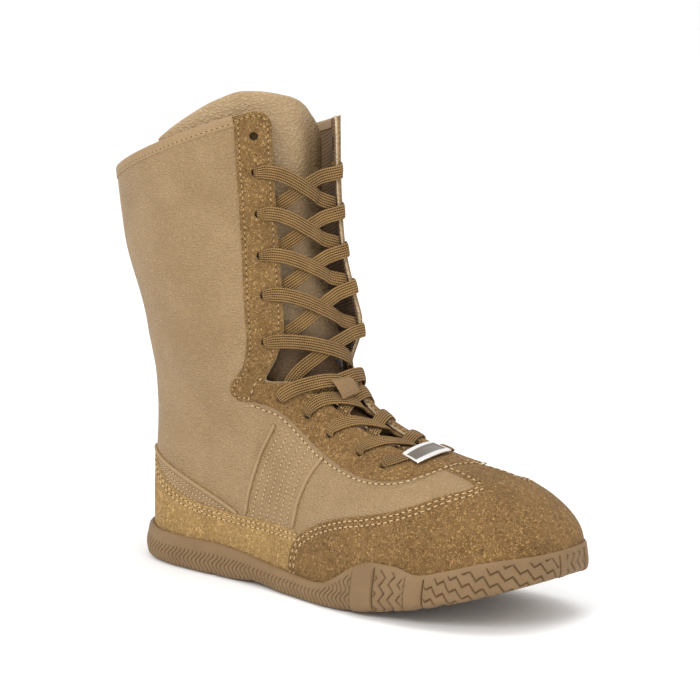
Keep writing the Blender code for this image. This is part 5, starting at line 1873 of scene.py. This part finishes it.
    def plate(self, half: float = 13.6, depth: float = 6.0, centre: float = -2.8) -> None:
        """Blank metal plate on the lowest lace: a raised rim round a flat middle, curved with the foot."""
        columns, rows = 61, 21
        a, b = np.meshgrid(np.linspace(-1, 1, columns), np.linspace(-1, 1, rows), indexing="ij")
        corner = 0.5 * (np.abs(a) ** 14 + np.abs(b) ** 8)
        edge = np.maximum(np.abs(a) * half - half + 1.6, np.abs(b) * depth / 2 - depth / 2 + 1.6)
        rim = eased(np.clip(edge / 0.5, 0, 1))
        outer_round = share_past(edge, 1.05, 0.55)
        high = 3.15 + 0.5 * rim - 0.42 * outer_round ** 2
        low = np.full_like(high, 2.6)
        shrink = 1 - 0.02 * corner
        points = []
        for height in (high, low):
            s = centre + a * half * shrink
            level = EYELETS[0].level - 0.013 + b * shrink * depth / 2 / 265.0 + a * 0.004
            w, v = LAST.across(s, level)
            points.append(LAST.point(w, v, height).reshape(-1, 3))
        count = columns * rows
        faces = grid_faces(columns, rows)
        faces += [tuple(count + i for i in reversed(face)) for face in grid_faces(columns, rows)]
        ring = ([(i, 0) for i in range(columns)] + [(columns - 1, j) for j in range(1, rows)]
                + [(i, rows - 1) for i in range(columns - 2, -1, -1)]
                + [(0, j) for j in range(rows - 2, 0, -1)])
        ids = [i * rows + j for i, j in ring]
        faces += [(p, q, q + count, p + count) for p, q in zip(ids, ids[1:] + ids[:1])]
        bright = np.concatenate([rim.reshape(-1), np.ones(count)])
        thing = mesh_object("lace_plate_blank", np.concatenate(points), faces, self.finishes.chrome,
                            extra={"cut": bright}, sharp=40)
        fit(outward(thing), "plate_metal", "lace_plate")

    def build(self) -> None:
        """Builds the lacing."""
        self.braid()
        self.keeper()
        self.plate()


ZipRow = namedtuple("ZipRow", "v x")


@dataclass
class SideZip:
    """Closed zip on the inner side of the shaft."""

    finishes: Finishes
    stitcher: Repeater
    table: tuple[ZipRow, ...] = (
        ZipRow(0.17, 19.0), ZipRow(0.30, 19.0), ZipRow(0.42, 18.5), ZipRow(0.505, 17.0),
        ZipRow(0.625, 16.0), ZipRow(0.745, 13.5), ZipRow(0.85, 9.0), ZipRow(0.985, 3.0),
    )
    coil_pitch: float = 1.5
    coil_height: float = 1.7
    coil_size: Size = (1.15, 2.7, 1.35)
    welt_offset: float = 4.7
    thread_height: float = 1.2

    def line(self) -> Array:
        """The zip's middle line as a run (w, v)."""
        place = Profile([row.v for row in self.table], [row.x for row in self.table])
        v = np.linspace(self.table[0].v, self.table[-1].v, 120)
        w = np.linspace(0.3, 0.95, 300)
        found = [float(np.interp(-place(at), -LAST.ring_point(w, np.full(300, at))[:, 0], w)) for at in v]
        return evened(np.stack([np.array(found), v], -1))

    def build(self) -> None:
        """Tape, coil and the two welts beside them."""
        line = self.line()
        tape = ((-5.4, -0.1), (-5.4, 0.35), (-5.0, 0.5), (-3.0, 0.6), (-2.4, 1.2), (2.4, 1.2), (3.0, 0.6),
                (5.0, 0.5), (5.4, 0.35), (5.4, -0.1))
        fit(band("zip_tape_band", line, tape, self.finishes.tape), "zip_tape", "zip_strip")
        runs = [beside(line, offset) for offset in (-1.25, 1.25)]
        coil = self.stitcher.build("zip_coil", runs, self.coil_height, self.coil_pitch, self.coil_size,
                                   self.finishes.coil)
        fit(coil, "zip_tape")
        fold = ((0.0, -0.1), (0.0, 0.9), (0.25, 1.4), (0.8, 1.6), (1.6, 1.4), (5.6, 0.95), (6.1, 0.6),
                (6.3, 0.2), (6.3, -0.1))
        for name, turn in (("rear", 1), ("front", -1)):
            offset = turn * self.welt_offset
            section = [(offset + turn * x, y) for x, y in fold]
            section = section if turn > 0 else section[::-1]
            fit(band(f"zip_welt_{name}", line, section, self.finishes.leather), "grained_leather")
            rows = [beside(line, offset + turn * inset) for inset in (2.0, 4.9)]
            stitches = self.stitcher.build(f"zip_stitches_{name}", rows, self.thread_height, 3.0,
                                           (2.1, 0.65, 0.5), self.finishes.thread)
            fit(stitches, "stitching")


LipRow = namedtuple("LipRow", "x outer inner")
WallRow = namedtuple("WallRow", "down out")
Zone = namedtuple("Zone", "start end kind")


@dataclass
class Sole:
    """Gum rubber cup sole with its moulded side pattern and tread, and the footbed in it."""

    finishes: Finishes
    lip: tuple[LipRow, ...] = (
        LipRow(-35, 19.0, 19.0), LipRow(-14, 17.8, 18.5), LipRow(28, 18.0, 18.0), LipRow(50, 16.2, 17.0),
        LipRow(71, 13.4, 15.5), LipRow(89, 12.2, 14.5), LipRow(105, 11.6, 14.2), LipRow(113, 12.4, 14.5),
        LipRow(122, 16.5, 15.5), LipRow(137, 25.4, 18.0), LipRow(150, 29.6, 21.0), LipRow(163, 29.4, 24.0),
        LipRow(175, 27.0, 27.0), LipRow(192, 31.2, 32.0), LipRow(211, 37.0, 37.2), LipRow(222, 39.2, 39.2),
        LipRow(229, 40.0, 40.0),
    )
    wall: tuple[WallRow, ...] = (
        WallRow(0.00, 1.5), WallRow(0.06, 2.9), WallRow(0.30, 3.9), WallRow(0.60, 4.8), WallRow(0.84, 4.3),
        WallRow(0.95, 2.6), WallRow(1.00, 0.4),
    )
    zones: tuple[Zone, ...] = (
        Zone(-0.397, -0.350, "bar"), Zone(-0.350, -0.295, "chevron"), Zone(-0.292, -0.256, "bar"),
        Zone(-0.256, 0.002, "stairs"), Zone(0.002, 0.020, "bar"), Zone(0.020, 0.074, "chevron"),
        Zone(0.074, 0.092, "bar"), Zone(0.092, 0.350, "stairs"), Zone(0.350, 0.386, "bar"),
        Zone(0.389, 0.444, "chevron"), Zone(0.444, 0.491, "bar"),
    )
    grooves: tuple[tuple[float, float], ...] = (
        (0.133, 0.148), (0.209, 0.224), (0.258, 0.270), (0.313, 0.324), (0.355, 0.364), (0.403, 0.414),
        (0.643, 0.655), (0.738, 0.750),
    )
    spring: tuple[float, float, float] = (116.0, 26.0, 1.7)
    arch: tuple[float, float, float] = (36.0, 84.0, 1.8)
    bevel: tuple[float, float] = (-24.0, 2.5)
    toe_wall: tuple[float, float, float] = (165.0, 215.0, 0.55)
    gap: float = 0.35
    cup_gap: float = 0.5
    groove_depth: float = 1.6
    rows: int = 600
    wall_rows: int = 42
    tread_lines: tuple[float, float, int] = (0.13, 0.87, 7)
    wall_length: float = 290.0
    toe_w: float = 0.047
    wave_pitch: float = 3.1
    chevron_pitch: float = 5.0
    stair_tread: float = 7.2
    stair_pitch: float = 6.2

    def bottom(self, x: Array) -> Array:
        """Height of the tread above the floor."""
        start, rise, power = self.spring
        low, high, lift = self.arch
        spring = rise * (np.maximum(x - start, 0) / (LAST.toe_x - start)) ** power
        share = np.clip((x - low) / (high - low), 0, 1)
        bevel = np.maximum(self.bevel[0] - x, 0) / (self.bevel[0] - LAST.heel_x)
        return spring + lift * np.sin(share * math.pi) ** 2 + self.bevel[1] * bevel ** 2

    def cross_groove(self, u: Array) -> Array:
        """Depth share of the grooves across the sole."""
        depth = np.zeros_like(u)
        for start, end in self.grooves:
            depth = np.maximum(depth, np.clip((0.5 * (end - start) + 0.0022 - np.abs(u - (start + end) / 2))
                                              / 0.0026, 0, 1))
        return depth

    def side_pattern(self, w: Array, length: Array, height: Array,
                     top: Array) -> tuple[Array, Array]:
        """Relief of the side wall.

        Args:
            w: Place round the shoe.
            length: Distance round the shoe from the toe, in mm.
            height: Height above the tread's edge, in mm.
            top: Height of the lip there, in mm.

        Returns:
            How far the wall stands out, in mm, and how much painted shade lies in the grooves there, from 0
            to 1.
        """
        depth = top - height
        smooth = 3.0 + 2.6 * share_past(np.abs(w), 0.55, 0.25)
        margin = share_past(depth, smooth, 0.8) * share_past(height, 1.0, 0.8)
        wave = np.sin(height * 2 * math.pi / 9.0) * 1.5 + height * 0.12
        stripe = zigzag((length + wave) / self.wave_pitch)
        rear = share_past(stripe, 0.50, 0.40) * margin
        out, groove = -0.6 * rear, 0.75 * rear
        for zone in self.zones:
            inside = (w >= zone.start) & (w < zone.end)
            edge = np.minimum(w - zone.start, zone.end - w) * self.wall_length
            ramp = np.clip(edge / 0.9, 0, 1)
            below_lip = share_past(depth, 2.2, 0.8)
            if zone.kind == "bar":
                seam = np.clip((0.9 - edge) / 0.5, 0, 1) * share_past(depth, 1.6, 0.8)
                out = np.where(inside, 0.7 * ramp * share_past(depth, 1.2, 1.0) - 0.9 * seam, out)
                groove = np.where(inside, 0.8 * seam, groove)
            elif zone.kind == "chevron":
                bend = (zigzag(height / 8.0 + 0.2) - 0.5) * 3.2
                line = zigzag(((w - zone.start) * self.wall_length + bend) / self.chevron_pitch)
                cut = share_past(line, 0.74, 0.16) * below_lip * ramp
                out, groove = np.where(inside, -0.8 * cut, out), np.where(inside, 0.75 * cut, groove)
            else:
                side = np.where(w < self.toe_w, 1.0, -1.0)
                run = (w - self.toe_w) * self.wall_length * side
                step = zigzag(run / self.stair_tread) * 3.4
                line = zigzag((height + run * 0.66 + step) / self.stair_pitch)
                cut = share_past(line, 0.76, 0.14) * below_lip * ramp
                out, groove = np.where(inside, -0.8 * cut, out), np.where(inside, 0.75 * cut, groove)
        return out, groove

    def rubber(self) -> None:
        """The cup sole as one closed mesh."""
        lips = profiles(self.lip, "x", "outer inner")
        section = profiles(self.wall, "down", "out")
        u = np.linspace(0, 1, self.rows)
        halves = {}
        for side in (OUTER, INNER):
            ring = LAST.ring_point(side * u, np.zeros_like(u))
            length = travelled(ring)
            x = ring[:, 0]
            lip = lips["outer" if side < 0 else "inner"](x)
            cut = self.cross_groove(u)
            low = self.bottom(x) + cut * self.groove_depth * 0.3
            floor = LAST.foot["base"](x) - self.gap
            down = np.linspace(0, 1, self.wall_rows) ** 0.85
            z_wall = lip[:, None] + (low - lip)[:, None] * down[None]
            inner_z = np.stack([floor, (floor + lip) / 2, lip - 0.5], 1)
            z = np.concatenate([inner_z, z_wall], 1)
            levels = np.linspace(0, 0.24, 40)
            columns = LAST.ring_point(*np.meshgrid(side * u, levels, indexing="ij"))
            v = np.stack([np.interp(z[k], columns[k, :, 2], levels) for k in range(len(u))])
            base = LAST.ring_point((side * u)[:, None] + 0 * v, v)
            out = LAST.level_normal(base)
            proud = np.zeros_like(z)
            groove = np.zeros_like(z)
            relief, dark = self.side_pattern((side * u)[:, None] + 0 * z_wall, length[:, None] + 0 * z_wall,
                                             z_wall - low[:, None], (lip - low)[:, None] + 0 * z_wall)
            toe = np.clip((x - self.toe_wall[0]) / (self.toe_wall[1] - self.toe_wall[0]), 0, 1)
            thinner = 1 - (1 - self.toe_wall[2]) * toe * toe * (3 - 2 * toe)
            proud[:, 3:] = section["out"](down)[None] * thinner[:, None] + relief
            groove[:, 3:] = dark
            points = base + out * (self.cup_gap + proud)[..., None]
            points[..., 2] = z
            halves[side] = (points, groove)
        outer, dark_outer = halves[OUTER]
        inner, dark_inner = halves[INNER]
        lines = np.linspace(*self.tread_lines)
        share = np.sort(np.concatenate([lines + offset for offset in (-0.018, -0.009, 0.009, 0.018)]
                                       + [(lines[1:] + lines[:-1]) / 2]))
        tread = outer[:, -1:, :] + (inner[:, -1:, :] - outer[:, -1:, :]) * share[None, :, None]
        fade = np.clip(4 * np.sin(math.pi * u), 0, 1)[:, None]
        rib = (np.abs(share[:, None] - lines[None]).min(1) < 0.010) * fade
        cut = np.maximum(self.cross_groove(u)[:, None] + 0 * rib, 0.6 * rib)
        tread[..., 2] = self.bottom(tread[..., 0]) + cut * self.groove_depth
        cup_share = np.linspace(0, 1, 7)[1:-1]
        cup = inner[:, :1, :] + (outer[:, :1, :] - inner[:, :1, :]) * cup_share[None, :, None]
        cup[..., 2] = LAST.foot["base"](cup[..., 0]) - self.gap
        rings = np.concatenate([outer, tread, inner[:, ::-1], cup], 1)
        # These values paint shade into the grooves of the wall and the tread.
        groove = np.concatenate([dark_outer, cut * 0.8, dark_inner[:, ::-1], np.zeros(cup.shape[:2])], 1)
        faces = grid_faces(len(u), rings.shape[1], closed=True)
        thing = mesh_object("rubber_sole", rings.reshape(-1, 3), faces, self.finishes.rubber,
                            extra={"groove": groove.reshape(-1)}, weld=0.02, sharp=35)
        fit(thing, "rubber", "outsole")

    def footbed(self, thick: float = 4.0, columns: int = 34, rows: int = 120) -> None:
        """Cloth-covered footbed with a softly raised edge."""
        u = np.linspace(0, 1, rows)
        edges = []
        for side in (OUTER, INNER):
            base = LAST.ring_point(side * u, np.full(rows, 0.0))
            out = LAST.level_normal(base)
            edges.append(base - out * (2.2 + self.gap))
        share = (1 - np.cos(np.linspace(0, math.pi, columns))) / 2
        flat = edges[0][:, None] + (edges[1] - edges[0])[:, None] * share[None, :, None]
        base = LAST.foot["base"](flat[..., 0])
        width = np.linalg.norm(edges[1] - edges[0], axis=-1)[:, None]
        near = np.minimum(share, 1 - share)[None] * width
        crown = 1 - np.clip(1 - near / 1.5, 0, 1) ** 2 * 0.5
        top, under = flat.copy(), flat[:, ::-1].copy()
        top[..., 2] = base + thick * crown + 0.8 * np.exp(-near / 7.0)
        under[..., 2] = base[:, ::-1]
        rings = np.concatenate([top, under], 1)
        uv = rings[..., :2].reshape(-1, 2)
        faces = grid_faces(rows, 2 * columns, closed=True)
        thing = mesh_object("cloth_footbed", rings.reshape(-1, 3), faces, self.finishes.footbed, uv,
                            weld=0.02, sharp=60)
        fit(thing, "sock_lining", "insole")

    def build(self) -> None:
        """Builds the sole and the footbed."""
        self.rubber()
        self.footbed()


@dataclass
class Studio:
    """Pale floor, soft light and the camera."""

    azimuth: float = 43.44325
    elevation: float = 10.00577
    target: Size = (60.0, 0.0, 120.0)
    distance: float = 1500.0
    shift_right: float = 24.9
    shift_up: float = 2.6
    lens: float = 144.17

    def camera(self) -> None:
        """The camera, along the recorded viewing direction."""
        az, el = math.radians(self.azimuth), math.radians(self.elevation)
        back = Vector((math.sin(az) * math.cos(el), -math.cos(az) * math.cos(el), math.sin(el)))
        right = Vector((math.cos(az), math.sin(az), 0.0))
        up = back.cross(right)
        target = Vector(self.target)
        place = target + back * self.distance
        aim = target + right * self.shift_right + up * self.shift_up
        data = bpy.data.cameras.new("Studio camera")
        data.lens, data.sensor_width = self.lens, 36.0
        data.clip_start, data.clip_end = 0.05, 60.0
        thing = linked("Studio camera", data)
        thing.location = place * MM
        thing.rotation_euler = (place - aim).to_track_quat("Z", "Y").to_euler()
        bpy.context.scene.camera = thing

    def floor(self) -> None:
        """A plain pale floor."""
        size = 30.0
        mesh = bpy.data.meshes.new("pale_floor")
        mesh.from_pydata([(-size, -size, 0), (size, -size, 0), (size, size, 0), (-size, size, 0)], [],
                         [(0, 1, 2, 3)])
        material = bpy.data.materials.new("Pale floor")
        material.use_nodes = True
        shader = material.node_tree.nodes["Principled BSDF"]
        shader.inputs["Base Color"].default_value = (0.93, 0.93, 0.93, 1)
        shader.inputs["Roughness"].default_value = 0.8
        shader.inputs["Specular IOR Level"].default_value = 0.1
        mesh.materials.append(material)
        linked("pale_floor", mesh)

    def light(self, name: str, place: Size, power: float, size: float,
              target: Size = (0.08, 0.0, 0.12)) -> None:
        """One large soft lamp turned to the shoe."""
        data = bpy.data.lights.new(name, "AREA")
        data.energy, data.size, data.shape = power, size, "DISK"
        thing = linked(name, data)
        thing.location = place
        thing.rotation_euler = (Vector(place) - Vector(target)).to_track_quat("Z", "Y").to_euler()

    def build(self) -> None:
        """Sets up the studio."""
        self.camera()
        self.floor()
        world = bpy.data.worlds.new("Studio")
        bpy.context.scene.world = world
        world.use_nodes = True
        background = world.node_tree.nodes["Background"]
        background.inputs["Color"].default_value = (1, 1, 1, 1)
        background.inputs["Strength"].default_value = 1.06
        self.light("Key", (0.5, -2.2, 1.8), 28, 1.2)
        self.light("Front", (2.2, -1.0, 1.0), 5, 1.4)
        self.light("Top", (0.5, 0.0, 2.7), 17, 1.4)
        settings = bpy.context.scene.view_settings
        settings.view_transform = "Standard"
        settings.exposure = 0.0


@dataclass
class ZipFittings:
    """The slider and its pull keep their shapes and get their metal."""

    finishes: Finishes
    nodes: tuple[str, str] = ("zip_slider", "zip_pull")

    def build(self) -> None:
        """Dresses both."""
        for name in self.nodes:
            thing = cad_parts[name]
            for slot in thing.material_slots:
                slot.material = self.finishes.zip_metal
            log.info("%s: dressed", name)


def main() -> None:
    """Builds the shoe piece by piece."""
    logging.basicConfig(level=logging.INFO, format="%(name)s %(message)s")
    finishes, stitcher = Finishes(), Repeater()
    Studio().build()
    Upper(finishes, stitcher).build()
    Tongue(finishes).build()
    Lacing(finishes, stitcher).build()
    SideZip(finishes, stitcher).build()
    Sole(finishes).build()
    ZipFittings(finishes).build()


if __name__ == "__main__":
    main()
